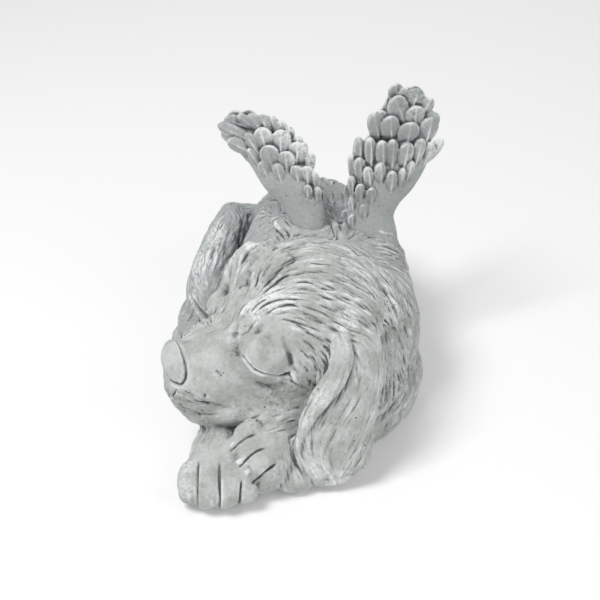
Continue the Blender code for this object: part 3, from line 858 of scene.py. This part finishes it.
# %% Combing the coat
# Each kind of stroke: how far apart the strokes start, in mm, the seed of its chances, half width
# in mm, how much it wanders, its share of the guides' length, and its height, which is below 0 for
# a groove.
STROKES = {
    "tufts": (8.5, 11, 2.9, 0.10, 0.9, 0.95),
    "locks": (6.0, 12, 0.95, 0.12, 1.0, -1.0),
    "hairs": (4.4, 13, 0.62, 0.16, 0.9, -0.55),
}

lookup = point_tree(skin.points)
heights = np.zeros(len(skin.points))
for kind, (cell, seed, half_width, wander, reach, height) in STROKES.items():
    strokes = comb(cell, seed, half_width, wander, reach)
    heights += height * stroke_heights(skin.points, lookup, strokes)
    print(kind + ":", len(strokes))
skin.push(heights * hair_share(skin.points))


def standing(skin, rounds):
    """How far each point stands above the average of the skin around it, in mm."""
    around = spread(skin.points, edge_array(skin.piece.data), rounds)
    return ((skin.points - around) * skin.outward).sum(1)


# The painted shade and highlights need this, and it is measured before the faces are thinned.
dense_fine, dense_wide = standing(skin, 11), standing(skin, 150)
dense_tree = point_tree(skin.points)

# %% [markdown]
# The carved skin holds too many faces for one mesh. Thinning it to fit would blur the hair, so it
# is thinned a little and parted across the back into a front and a rear, each closed over the
# parting. The real casting has no joint there, and the parting doesn't show.

# %% Down to the face budget
FACE_BUDGET = 193000

thinning = 2 * FACE_BUDGET / face_count(statue)
apply_modifier(statue, "DECIMATE", ratio=thinning, use_collapse_triangulate=True)
centres = np.empty(len(statue.data.polygons) * 3, np.float32)
statue.data.polygons.foreach_get("center", centres)
parting = float(np.median(centres.reshape(-1, 3)[:, 1]))


def side_of_parting(name, direction):
    """The part of the statue ahead of the parting (direction 1) or behind it (-1), closed flat."""
    half = statue.copy()
    half.data = statue.data.copy()
    half.name = half.data.name = name
    bpy.context.scene.collection.objects.link(half)
    select_only(half)
    bpy.ops.object.mode_set(mode="EDIT")
    bpy.ops.mesh.select_all(action="SELECT")
    bpy.ops.mesh.bisect(
        plane_co=(0, parting, 0), plane_no=(0, direction, 0), use_fill=True, clear_outer=True,
        threshold=1e-7,
    )
    bpy.ops.mesh.mark_sharp()
    bpy.ops.mesh.quads_convert_to_tris()
    bpy.ops.object.mode_set(mode="OBJECT")
    return half


front = side_of_parting("sleeping_puppy_front", 1)
rear = side_of_parting("sleeping_puppy_rear", -1)
bpy.data.objects.remove(statue)
print("parting at", round(parting / MM, 1), "front", face_count(front), "rear", face_count(rear))

# %% [markdown]
# ## The wings
#
# Each wing is a thick curved blade with a smooth arm along its outer edge and tiers of feathers
# that overlap like shingles, small on the arm and broad near the tip. One feather is modelled
# from a grid, with its rounded outline, its crown and its shaft, and copied to every place. Rows
# made by an Array would be too even for wings carved by hand. The blade and its feathers are then
# fused into one skin, as they are in the casting.

# %% One feather
FEATHER_THICKNESS = 2.2
FEATHER_LIFT = 4.4
FEATHER_CROWN = 0.9
SHAFT_HEIGHT = 0.45
SHAFT_HALF_WIDTH = 0.1

OUTLINE_SHARE = (0.0, 0.12, 0.3, 0.6, 0.8, 0.92, 0.98, 1.0)
OUTLINE_WIDTH = (0.45, 0.66, 0.88, 1.0, 0.9, 0.64, 0.34, 0.12)


def feather_width(share):
    """The feather's width at a share of its length, as a part of its widest."""
    return np.interp(share, OUTLINE_SHARE, OUTLINE_WIDTH)


def feather_top(across, share):
    """The height of the feather's upper face in mm, across from -1 to 1 and along from 0 to 1."""
    lift = FEATHER_LIFT * (1.4 * share - 0.4 * share**2)
    shaft = SHAFT_HEIGHT * np.exp(-((across / SHAFT_HALF_WIDTH) ** 2)) * np.clip(1.3 - share, 0, 1)
    return lift + FEATHER_CROWN * (1 - across**2) + shaft - FEATHER_CROWN


bpy.ops.object.select_all(action="DESELECT")
bpy.ops.mesh.primitive_grid_add(x_subdivisions=14, y_subdivisions=26, size=1)
feather = bpy.context.active_object
feather.name = "feather"
for vertex in feather.data.vertices:
    share = vertex.co.y + 0.5
    across = vertex.co.x * 2
    vertex.co = (across / 2 * feather_width(share), share, feather_top(across, share))
select_only(feather)
bpy.ops.object.mode_set(mode="EDIT")
bpy.ops.mesh.select_all(action="SELECT")
bpy.ops.mesh.extrude_region_move(TRANSFORM_OT_translate={"value": (0, 0, -FEATHER_THICKNESS)})
bpy.ops.object.mode_set(mode="OBJECT")
face_outward(feather)
print("one feather:", face_count(feather), "triangles")

# %% The wings' blades
WING_THICKNESS = 10.5
WING_STEPS = 200
WING_VOXEL = 0.48
WING_SMOOTHING = 3

# The blade's middle line from root to tip in millimetres, with its half width, and the direction
# of its width at each station.
LEFT_WING = [
    (44, 30, 62, 15), (43, 36, 79, 15), (41, 39, 93, 14.5), (44, 42, 106, 17), (50, 46, 118, 21),
    (55.5, 49, 129, 21.5), (59.5, 52, 140, 18), (62.5, 55, 151, 13), (64, 58, 160, 7),
]
LEFT_ACROSS = [(1, 0.36, turn) for turn in (0, 0, 0, -0.1, -0.2, -0.15, -0.1, -0.1, -0.1)]
RIGHT_WING = [
    (9, 32, 62, 8), (7, 36, 80, 8.5), (3, 40, 97, 11.5), (-3, 43, 110, 14.5), (-10, 47, 119, 15.5),
    (-18, 51, 126, 13.5), (-27, 55, 131, 10), (-35, 58, 134, 7), (-42, 60, 136, 3.5),
]
RIGHT_ACROSS = [
    (-1, 0.3, 0.1), (-1, 0.3, 0.2), (-1, 0.3, 0.2), (-1, 0.3, 0), (-1, 0.25, -0.1),
    (-0.9, 0.2, -0.3), (-0.8, 0.2, -0.55), (-0.7, 0.1, -0.7), (-0.7, 0.1, -0.7),
]
BLADE_TAPER = np.array((1.5, 1.3, 1.15, 1, 0.9, 0.8, 0.7, 0.6, 0.5))

# A feather typed in pixels: how many mm a pixel is there, how far its root is pushed on under the
# feathers above it, how much wider it is made to overlap its neighbours, and its uneven width.
PIXEL_MM = 0.585
OVERLAP = 0.22
FULLNESS = 1.14
UNEVENNESS = 0.12

# A feather's lift is full at one length, and less or more within limits on shorter and longer
# ones. Its root is sunk a little into the blade.
FULL_LIFT_LENGTH = 17
LEAST_RISE, MOST_RISE = 0.45, 1.1
FRONT_SINK, BACK_SINK = 0.8, 0.2

feather_shape = np.empty(len(feather.data.vertices) * 3, np.float32)
feather.data.vertices.foreach_get("co", feather_shape)
feather_shape = feather_shape.reshape(-1, 3).astype(float)


class Wing:
    """A wing's curved blade, which gives the places and directions for the feathers on its faces."""

    def __init__(self, name, stations, across):
        self.name = name
        self.rows = smooth_curve(stations, WING_STEPS + 1)
        self.axes = smooth_curve(across, WING_STEPS + 1)
        self.travel = np.gradient(self.rows[:, :3], axis=0)
        thick = WING_THICKNESS / 2 * BLADE_TAPER
        rows = [(*row, thickness) for row, thickness in zip(stations, thick)]
        self.blade = limb(name + "_blade", rows, across, rings=60, sides=32)
        self.tree = Skin(self.blade).tree()
        self.placed = []

    def axes_at(self, i):
        """The blade's directions at a step: along it, across it and out of its front face."""
        along = unit(self.travel[i])
        across = unit(self.axes[i] - along * np.dot(self.axes[i], along))
        normal = np.cross(along, across)
        return along, across, normal if normal[1] < 0 else -normal

    def lay(self, root, toward, normal, length, width):
        """Keeps the matrix that lays a feather at its root, and gives short feathers less lift."""
        side = np.cross(toward, normal)
        rise = min(MOST_RISE, max(LEAST_RISE, length / FULL_LIFT_LENGTH))
        matrix = np.eye(4)
        matrix[:3, 0] = side * width
        matrix[:3, 1] = toward * length
        matrix[:3, 2] = normal * rise
        matrix[:3, 3] = root
        self.placed.append(matrix)

    def lay_on_back(self, t, place, length, width, splay):
        """A feather on the back face, rooted at share t of the wing and place across, -1 to 1."""
        i = int(round(t * WING_STEPS))
        along, across, normal = self.axes_at(i)
        half_blade = WING_THICKNESS / 2 * (1.15 - 0.6 * t)
        skin = half_blade * math.sqrt(1 - min(place**2, 0.9))
        root = self.rows[i, :3] + across * place * self.rows[i, 3] - normal * (skin - BACK_SINK)
        toward = along * math.cos(splay) - across * math.sin(splay)
        self.lay(root, toward, -normal, length, width)

    def lay_by_picture(self, tip_x, tip_y, root_x, root_y, width):
        """A feather on the front face, with its tip, its root and its width in pixels."""
        root_x, root_y = root_x + OVERLAP * (root_x - tip_x), root_y + OVERLAP * (root_y - tip_y)
        root = drop(self.tree, root_x, root_y)
        normal = self.axes_at(np.linalg.norm(self.rows[:, :3] - root, axis=1).argmin())[2]
        ray = np.array(ray_through(tip_x, tip_y))
        eye = np.array(EYE) / MM
        tip = eye + ray * np.dot(root - eye, normal) / np.dot(ray, normal)
        length = np.linalg.norm(tip - root)
        width *= 1 + UNEVENNESS * math.sin(3.7 * len(self.placed))
        width = width * FULLNESS * PIXEL_MM
        self.lay(root - normal * FRONT_SINK, (tip - root) / length, normal, length, width)

    def fused(self):
        """The blade and a copy of the feather at each of its places, in one skin."""
        pieces = [self.blade]
        for matrix in self.placed:
            copy = feather.copy()
            copy.data = feather.data.copy()
            bpy.context.scene.collection.objects.link(copy)
            points = feather_shape @ matrix[:3, :3].T + matrix[:3, 3]
            copy.data.vertices.foreach_set("co", (points * MM).astype(np.float32).ravel())
            pieces.append(copy)
        whole = join_as(self.name, pieces)
        face_outward(whole)
        voxel_skin(whole, WING_VOXEL, WING_SMOOTHING)
        return whole


# %% [markdown]
# The front faces are seen in the picture, so each of their feathers is typed as the pixels of
# its tip and root and its width. The backs get even tiers, with a little disorder.

# %% Feathers in place
# Feathers on the front, from the wing's tip down: tip x and y, root x and y, width, in pixels.
LEFT_FRONT = [
    (394, 83, 397, 101, 14), (405, 86, 404, 106, 14), (417, 88, 411, 110, 17), (430, 97, 421, 116, 16),
    (437, 113, 425, 127, 14), (377, 110, 386, 127, 12), (392, 96, 403, 120, 20), (414, 105, 415, 126, 17),
    (371, 112, 378, 137, 15), (388, 115, 391, 138, 16), (409, 121, 407, 144, 22), (430, 116, 427, 139, 18),
    (357, 136, 360, 163, 10), (368, 136, 371, 162, 12), (380, 139, 383, 165, 11), (391, 138, 392, 164, 13),
    (406, 141, 404, 166, 14), (420, 137, 416, 162, 12), (431, 141, 425, 162, 12), (441, 138, 433, 160, 10),
    (350, 153, 353, 174, 8), (357.5, 157, 361, 177, 10), (366, 166, 370, 184, 10), (379, 162, 381, 181, 11),
    (391, 170, 391, 190, 10), (402, 167, 400, 187, 9), (411, 160, 407, 179, 9), (350, 175, 353, 192, 8),
    (359, 183, 361, 199, 9), (370, 187, 372, 202, 9), (350, 197, 353, 211, 7), (351, 214, 353, 227, 6.5),
    (363, 204, 365, 218, 9),
]
RIGHT_FRONT = [
    (226, 117, 252, 127, 12), (219.5, 123, 245, 138, 13), (229, 139, 250, 152, 12), (239, 114, 256, 129, 11),
    (250, 113, 262, 131, 11), (262, 113.5, 268, 132, 10), (272, 115, 276, 133, 10), (281, 120, 283, 138, 10),
    (290, 126, 290, 144, 10), (299, 135, 297, 152, 9), (305, 142, 302, 158, 9), (247, 132, 257, 151, 10),
    (262, 126.5, 266, 149, 16), (283, 129, 281, 151, 19), (300, 141.5, 297, 161, 15),
    (249, 148, 257, 163, 10), (268, 144.5, 272, 166, 17), (287, 150.5, 287, 169, 15),
    (312, 152, 309, 169, 10), (262, 161, 267, 176, 11), (277, 163, 281, 180, 12), (296, 165, 298, 180, 11),
    (308, 165, 308, 182, 12), (315, 171, 315, 187, 9), (318, 186, 317, 200, 7), (308, 184, 308, 198, 9),
]
# Tiers on the back: share of the wing at the roots, length, width, the places across of the
# first and last feather, from -1 at the inner edge to 1, and their number.
BACK_TIERS = (
    (0.22, 12, 7.0, -0.50, 0.05, 3), (0.30, 13, 7.5, -0.55, 0.15, 3), (0.38, 15, 8.0, -0.60, 0.30, 4),
    (0.47, 18, 8.5, -0.62, 0.55, 5), (0.60, 20, 12.0, -0.52, 0.45, 4), (0.71, 19, 12.5, -0.55, 0.45, 4),
    (0.81, 16, 12.5, -0.45, 0.30, 3), (0.89, 12, 11.0, -0.30, 0.20, 2),
)

ROOT_DISORDER = 0.008
SPLAY_DISORDER = 6
LENGTH_DISORDER = (0.85, 1.1)

wings = []
disorder = np.random.default_rng(3)
for name, stations, across, seen in (
    ("left_wing", LEFT_WING, LEFT_ACROSS, LEFT_FRONT),
    ("right_wing", RIGHT_WING, RIGHT_ACROSS, RIGHT_FRONT),
):
    wing = Wing(name, stations, across)
    for mark in seen:
        wing.lay_by_picture(*mark)
    for t, length, width, inner, outer, count in BACK_TIERS:
        for k in range(count):
            place = inner + (outer - inner) * k / (count - 1)
            splay = math.radians(24 - 34 * (place + 0.9) / 1.8 + disorder.normal(0, SPLAY_DISORDER))
            root_share = t + disorder.normal(0, ROOT_DISORDER)
            uneven = disorder.uniform(*LENGTH_DISORDER)
            wing.lay_on_back(root_share, place, length * uneven, width, splay)
    piece = wing.fused()
    wings.append((wing, piece))
    print(name, len(wing.placed), "feathers,", face_count(piece), "triangles")
bpy.data.objects.remove(feather)
left_wing, right_wing = [piece for wing, piece in wings]

# %% [markdown]
# A feather's shaft stands up along its middle, and its barbs run from the shaft forward to the
# edges as fine grooves. Carved before the fusing they would be lost in it, so they are carved on
# the fused skin: each point is taken into the feather's own axes, and belongs to the feather whose
# upper face it lies on.

# %% Shafts and barbs
BARB_SPACING = 1.45
BARB_DEPTH = 0.26
BARB_SLOPE = 0.75
FURTHEST_OFF = 0.8
SHAFT_RISE = 0.35

for wing, piece in wings:
    skin = Skin(piece)
    closest = np.full(len(skin.points), FURTHEST_OFF)
    heights = np.zeros(len(skin.points))
    for number, matrix in enumerate(wing.placed):
        length, width = np.linalg.norm(matrix[:3, 1]), np.linalg.norm(matrix[:3, 0])
        rise = np.linalg.norm(matrix[:3, 2])
        local = (skin.points - matrix[:3, 3]) @ np.linalg.inv(matrix[:3, :3]).T
        share = local[:, 1]
        inside = (share > 0.03) & (share < 1.03) & (np.abs(local[:, 0]) < 0.62)
        half = feather_width(share) / 2
        across = local[:, 0] / half
        off = np.abs(local[:, 2] - feather_top(across, share)) * rise
        facing = skin.outward @ (matrix[:3, 2] / rise)
        mine = inside & (np.abs(across) < 1.05) & (off < closest) & (facing > 0.2)
        closest[mine] = off[mine]
        x, y = local[mine, 0] * width, share[mine] * length
        phase = (y - BARB_SLOPE * np.abs(x)) / BARB_SPACING + 0.13 * np.sin(number * 2.1 + y)
        groove = 0.5 + 0.5 * np.cos(2 * math.pi * phase)
        fade = np.clip(np.abs(x) / 1.0 - 0.35, 0, 1) * np.clip((1.02 - share[mine]) * 6, 0, 1)
        shaft = SHAFT_RISE * np.exp(-((x / 0.55) ** 2)) * np.clip(1.1 - share[mine], 0, 1)
        heights[mine] = shaft - BARB_DEPTH * groove * fade
    skin.push(heights)
    print(wing.name, "carved points:", int((heights != 0).sum()))

# %% [markdown]
# ## Where the painted shade and the painted highlights go
#
# The statue is painted in two passes. Painted shade, partly a thin dark wash, runs into every
# hollow and nook, and painted highlight, partly a nearly dry brush of white, then catches only what
# stands out. A material can't tell a ridge from a hollow, so it is measured here on the meshes and
# kept with each point: how far the point lies above or below its own neighbourhood, and how much of
# the open sky is hidden from it.

# %% Hollows, ridges and nooks
def keep(piece, name, values):
    """Keeps a value with each point of the piece, where a material can read it."""
    attribute = piece.data.attributes.new(name, "FLOAT", "POINT")
    attribute.data.foreach_set("value", values.astype(np.float32))


NOOK_REACH = 16.0
NOOK_RAYS = 10
NOOK_CELL = 1.3
NOOK_SPREAD = 8
OFF_THE_SKIN = 0.25


def nooks(points, outward, tree):
    """The share of short rays that meet another part of the statue, felt at thinned points."""
    random = np.random.default_rng(5)
    spin = unit(random.normal(size=(NOOK_RAYS, 3)))
    felt = thinned(points, NOOK_CELL, 6)
    hits = np.zeros(len(felt))
    for number, (point, out) in enumerate(zip(points[felt], outward[felt])):
        start = Vector(point + out * OFF_THE_SKIN)
        for ray in spin + out * 1.05:
            hits[number] += tree.ray_cast(start, Vector(ray), NOOK_REACH)[0] is not None
    nearest = point_tree(points[felt])
    return hits[[nearest.find(point)[1] for point in points]] / NOOK_RAYS


painted = (front, rear, left_wing, right_wing)
skins = [Skin(piece) for piece in painted]
whole_points = np.vstack([s.points for s in skins])
whole_faces, first = [], 0
for s in skins:
    whole_faces += [[first + v for v in face.vertices] for face in s.piece.data.polygons]
    first += len(s.points)
whole_tree = BVHTree.FromPolygons(whole_points.tolist(), whole_faces)

# Dabs of painted highlight, and dabs of painted shade under the mouth, the cheek and the jaw and in
# other hollows: for each a pixel of the picture, the radius in millimetres and the strength.
HIGHLIGHT_DABS = [
    (300, 150, 13, 1), (312, 168, 12, 1), (285, 136, 10, 0.9), (266, 132, 9, 0.6), (433, 150, 13, 1),
    (410, 160, 13, 0.5), (418, 112, 12, 0.5), (372, 172, 9, 0.5), (200, 262, 13, 1), (213, 236, 11, 0.9),
    (197, 285, 9, 0.5), (272, 300, 11, 0.9), (254, 311, 8, 0.9), (372, 285, 15, 0.9), (388, 305, 12, 0.9),
    (345, 325, 8, 0.7), (352, 345, 8, 0.6), (318, 398, 8, 0.8), (306, 420, 7, 0.7), (340, 480, 9, 0.7),
    (318, 470, 8, 0.6), (250, 244, 5, 0.9), (232, 258, 5, 0.9), (226, 275, 4, 0.8), (188, 465, 7, 0.7),
    (187, 490, 7, 0.6), (398, 385, 10, 0.4), (388, 250, 12, 0.3), (340, 205, 9, 0.4),
]
SHADE_DABS = [
    (180, 405, 10, 0.8), (200, 408, 9, 0.5), (168, 392, 7, 0.7), (275, 398, 11, 0.7), (293, 385, 8, 0.7),
    (236, 352, 7, 0.6), (205, 425, 9, 0.5), (240, 412, 8, 0.4), (233, 118, 9, 0.5), (420, 100, 16, 0.5),
    (400, 150, 12, 0.3), (280, 470, 9, 0.4), (192, 505, 7, 0.5), (310, 195, 9, 0.4), (222, 250, 10, 0.3),
]
DAB_FADE = 1.6


def dabs(points, marks):
    """How much of a dab of painted highlight, or of painted shade, each point gets, out to its radius."""
    amount = np.zeros(len(points))
    for x, y, radius, strength in marks:
        away = np.linalg.norm(points - drop(whole_tree, x, y), axis=1) / radius
        amount = np.maximum(amount, strength * np.clip(DAB_FADE - DAB_FADE * away, 0, 1))
    return amount


for s in skins:
    if s.piece in (front, rear):
        nearest = [dense_tree.find(point)[1] for point in s.points]
        fine_height, wide_height = dense_fine[nearest], dense_wide[nearest]
    else:
        fine_height, wide_height = standing(s, 22), standing(s, 200)
    # How much sky each point has hidden, which the material turns into painted shade.
    nook = nooks(s.points, s.outward, whole_tree)
    kept = {
        "fine_height": fine_height,
        "wide_height": wide_height,
        "nook": spread(nook, edge_array(s.piece.data), NOOK_SPREAD)[:, 0],
        # The dabs of painted highlight and of painted shade.
        "highlight_dab": dabs(s.points, HIGHLIGHT_DABS),
        "shade_dab": dabs(s.points, SHADE_DABS),
    }
    for name, values in kept.items():
        keep(s.piece, name, values)
        print(s.piece.name, name, np.percentile(values, (5, 50, 95)).round(3))

# %% [markdown]
# ## The stone
#
# Cast stone is a matt grey with fine sand in it and a pinhole here and there where air was caught in
# the mould. Here its colour is made greener on the face and bluer and darker towards the back and the
# wings. A picture of stone would stretch and show seams on a form this round, so the stone is made of
# noise that runs through the whole block, and the painted shade and highlights come from the measures
# taken above.

# %% Shader sums
class Shade:
    """One socket of a material, which can be used in sums."""

    def __init__(self, tree, socket):
        self.tree = tree
        self.socket = socket

    def node(self, kind, settings, inputs, output=0):
        """Adds a node, with its settings set first and then the values or links of its sockets."""
        made = self.tree.nodes.new(kind)
        for name, value in settings.items():
            setattr(made, name, value)
        for name, value in inputs.items():
            if isinstance(value, Shade):
                self.tree.links.new(value.socket, made.inputs[name])
            else:
                made.inputs[name].default_value = value
        return Shade(self.tree, made.outputs[output])

    def math(self, operation, *terms, clamp=False):
        settings = {"operation": operation, "use_clamp": clamp}
        return self.node("ShaderNodeMath", settings, dict(enumerate(terms)))

    def held(self):
        """The same value, held between 0 and 1."""
        return self.math("MULTIPLY", self, 1.0, clamp=True)

    def __add__(self, other):
        return self.math("ADD", self, other)

    def __radd__(self, other):
        return self.math("ADD", other, self)

    def __sub__(self, other):
        return self.math("SUBTRACT", self, other)

    def __rsub__(self, other):
        return self.math("SUBTRACT", other, self)

    def __mul__(self, other):
        return self.math("MULTIPLY", self, other)

    def __rmul__(self, other):
        return self.math("MULTIPLY", other, self)

    def between(self, low, high):
        """0 below low, 1 above high, and a soft step between them."""
        inputs = {"Value": self, "From Min": low, "From Max": high}
        return self.node("ShaderNodeMapRange", {"interpolation_type": "SMOOTHSTEP"}, inputs)

    def noise(self, scale, detail=3.0, roughness=0.55):
        inputs = {"Vector": self, "Scale": scale, "Detail": detail, "Roughness": roughness}
        return self.node("ShaderNodeTexNoise", {}, inputs, "Fac")

    def blend(self, first, second):
        """A blend of two colours, by this share of the second."""
        return self.node("ShaderNodeMix", {"data_type": "RGBA"}, {0: self, 6: first, 7: second}, 2)


# %% Cast stone
GREEN_GREY = (0.43, 0.455, 0.43, 1)
PALE_GREY = (0.57, 0.59, 0.575, 1)
BLUE_GREY = (0.40, 0.42, 0.425, 1)
# The dark of the painted shade and the wash, and of the stone's dark grain, sand and pinholes.
DARK_OF_SHADE_AND_GRAIN = (0.055, 0.06, 0.062, 1)
# The white of the painted highlights and the dry brush, and of the stone's light grain.
WHITE_OF_HIGHLIGHT_AND_GRAIN = (0.86, 0.89, 0.89, 1)

stone = bpy.data.materials.new("cast_stone")
stone.use_nodes = True
nodes = stone.node_tree
shader = nodes.nodes["Principled BSDF"]
place = Shade(nodes, nodes.nodes.new("ShaderNodeTexCoord").outputs["Object"])


def measured(name):
    """A measure that was kept with the points of the pieces."""
    return place.node("ShaderNodeAttribute", {"attribute_name": name}, {}, "Fac")


fine_height, wide_height, nook = measured("fine_height"), measured("wide_height"), measured("nook")
highlight_dab, shade_dab = measured("highlight_dab"), measured("shade_dab")
cloudy, patchy, sandy = place.noise(22.0), place.noise(95.0), place.noise(900.0, 2.0)
grain = place.noise(520.0, 4.0, 0.75)
light_grain, dark_grain = grain.between(0.52, 0.80), (1.0 - grain).between(0.52, 0.80)

# The colour, greener in front and bluer and darker towards the back.
depth_along = place.node("ShaderNodeSeparateXYZ", {}, {0: place}, "Y")
backness = (depth_along + 0.02 * cloudy).between(-0.03, 0.06)
ground = patchy.between(0.35, 0.65).blend(GREEN_GREY, PALE_GREY)
ground = (backness * 0.8).blend(ground, BLUE_GREY)

# The dark: painted shade in the wide hollows, the nooks and the shade dabs, and in the fine
# hollows painted shade that is partly a wash, patchy all over.
wash_and_shade = (0.0 - fine_height).between(0.04, 0.5) * 0.9 + (0.0 - wide_height).between(0.3, 3.5) * 0.4
wash_and_shade = wash_and_shade + nook.between(0.30, 0.95) * 0.75
# Painted shade from the shade dabs, broken by the grain.
wash_and_shade = wash_and_shade + shade_dab * (0.12 + 0.75 * (1.0 - grain).between(0.42, 0.70))
wash_and_shade = (wash_and_shade * (0.55 + 0.9 * patchy)).held()
colour = (wash_and_shade * 0.93).blend(ground, DARK_OF_SHADE_AND_GRAIN)

# The white: painted highlight, partly a dry brush, on what stands up and out of the nooks, and
# stronger and grainier in the highlight dabs.
brush_and_highlight = (fine_height - 0.1 * wide_height).between(0.05, 0.42) * 0.95
brush_and_highlight = brush_and_highlight * (0.25 + 1.3 * patchy.between(0.38, 0.66)) * (1.0 - nook.between(0.35, 0.8)) * (0.5 + grain)
# Grainy painted highlight where the highlight dabs lie on raised hair.
grainy_highlight = highlight_dab * (fine_height + 0.35).between(0.0, 0.5) * grain.between(0.34, 0.56)
brush_and_highlight = (brush_and_highlight * (0.8 + 1.6 * highlight_dab) + grainy_highlight * 0.95).held()
colour = (brush_and_highlight * 0.9).blend(colour, WHITE_OF_HIGHLIGHT_AND_GRAIN)

# The grain of the stone, its sand and its pinholes.
colour = (light_grain * 0.45).blend(colour, WHITE_OF_HIGHLIGHT_AND_GRAIN)
colour = (dark_grain * 0.50).blend(colour, DARK_OF_SHADE_AND_GRAIN)
colour = (sandy.between(0.62, 0.80) * 0.3).blend(colour, DARK_OF_SHADE_AND_GRAIN)
cells = {"Vector": place, "Scale": 210.0, "Randomness": 1.0}
pinholes = place.node("ShaderNodeTexVoronoi", {}, cells, "Distance")
pinhole = (0.13 - pinholes).between(0.0, 0.06) * place.noise(60.0).between(0.55, 0.60)
colour = (pinhole * 0.85).blend(colour, DARK_OF_SHADE_AND_GRAIN)
roughness = 0.80 - 0.10 * brush_and_highlight + 0.06 * (sandy - 0.5)
relief = grain + sandy * 0.5 + place.noise(2600.0, 2.0) * 0.25 - pinhole * 2.0
height = {"Height": relief, "Strength": 0.5, "Distance": 0.0006}
bump = place.node("ShaderNodeBump", {}, height, "Normal")
for socket, value in (("Base Color", colour), ("Roughness", roughness), ("Normal", bump)):
    nodes.links.new(value.socket, shader.inputs[socket])
print("cast stone:", len(nodes.nodes), "nodes")

# %% The finished pieces
for piece in painted:
    piece.data.materials.clear()
    piece.data.materials.append(stone)
    select_only(piece)
    bpy.ops.object.shade_smooth()
    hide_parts("sleeping_puppy")
    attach(piece, "root")

# %% [markdown]
# ## Floor and light
#
# A plain white floor and three broad soft lights give the even light of a catalogue picture. The
# key light stands above on the puppy's right, so the coat's grooves and the lids throw soft
# shadows. A single small lamp would throw hard ones.

# %% Floor and light
# The floor lies a little under the statue, so that the two faces don't flicker into each other.
FLOOR_DROP = -0.0002

bpy.ops.object.select_all(action="DESELECT")
bpy.ops.mesh.primitive_plane_add(size=6)
floor = bpy.context.active_object
floor.name = "floor"
floor.location.z = FLOOR_DROP
bpy.ops.object.transform_apply(location=True, rotation=True, scale=True)
paint = bpy.data.materials.new("floor_white")
world = bpy.data.worlds.new("studio")
bpy.context.scene.world = world
for holder, name, values in (
    (paint, "Principled BSDF", {"Base Color": (0.9, 0.9, 0.9, 1), "Roughness": 0.9}),
    (paint, "Principled BSDF", {"Emission Color": (1, 1, 1, 1), "Emission Strength": 0.12}),
    (world, "Background", {"Color": (1, 1, 1, 1), "Strength": 0.36}),
):
    holder.use_nodes = True
    for socket, value in values.items():
        holder.node_tree.nodes[name].inputs[socket].default_value = value
floor.data.materials.append(paint)
bpy.context.scene.view_settings.view_transform = "Standard"


def soft_light(name, place, size, power):
    """A square lamp that faces the statue, with its size in metres and its power in watts."""
    light = bpy.data.lights.new(name, "AREA")
    light.size = size
    light.energy = power
    made = bpy.data.objects.new(name, light)
    bpy.context.scene.collection.objects.link(made)
    made.location = place
    made.rotation_euler = (LOOK_AT - Vector(place)).to_track_quat("-Z", "Y").to_euler()


soft_light("key_light", (-0.55, -0.45, 1.2), 0.5, 11.5)
soft_light("fill_light", (0.9, -0.6, 0.6), 0.9, 2.5)
soft_light("back_light", (0.2, 0.9, 0.9), 0.8, 2)
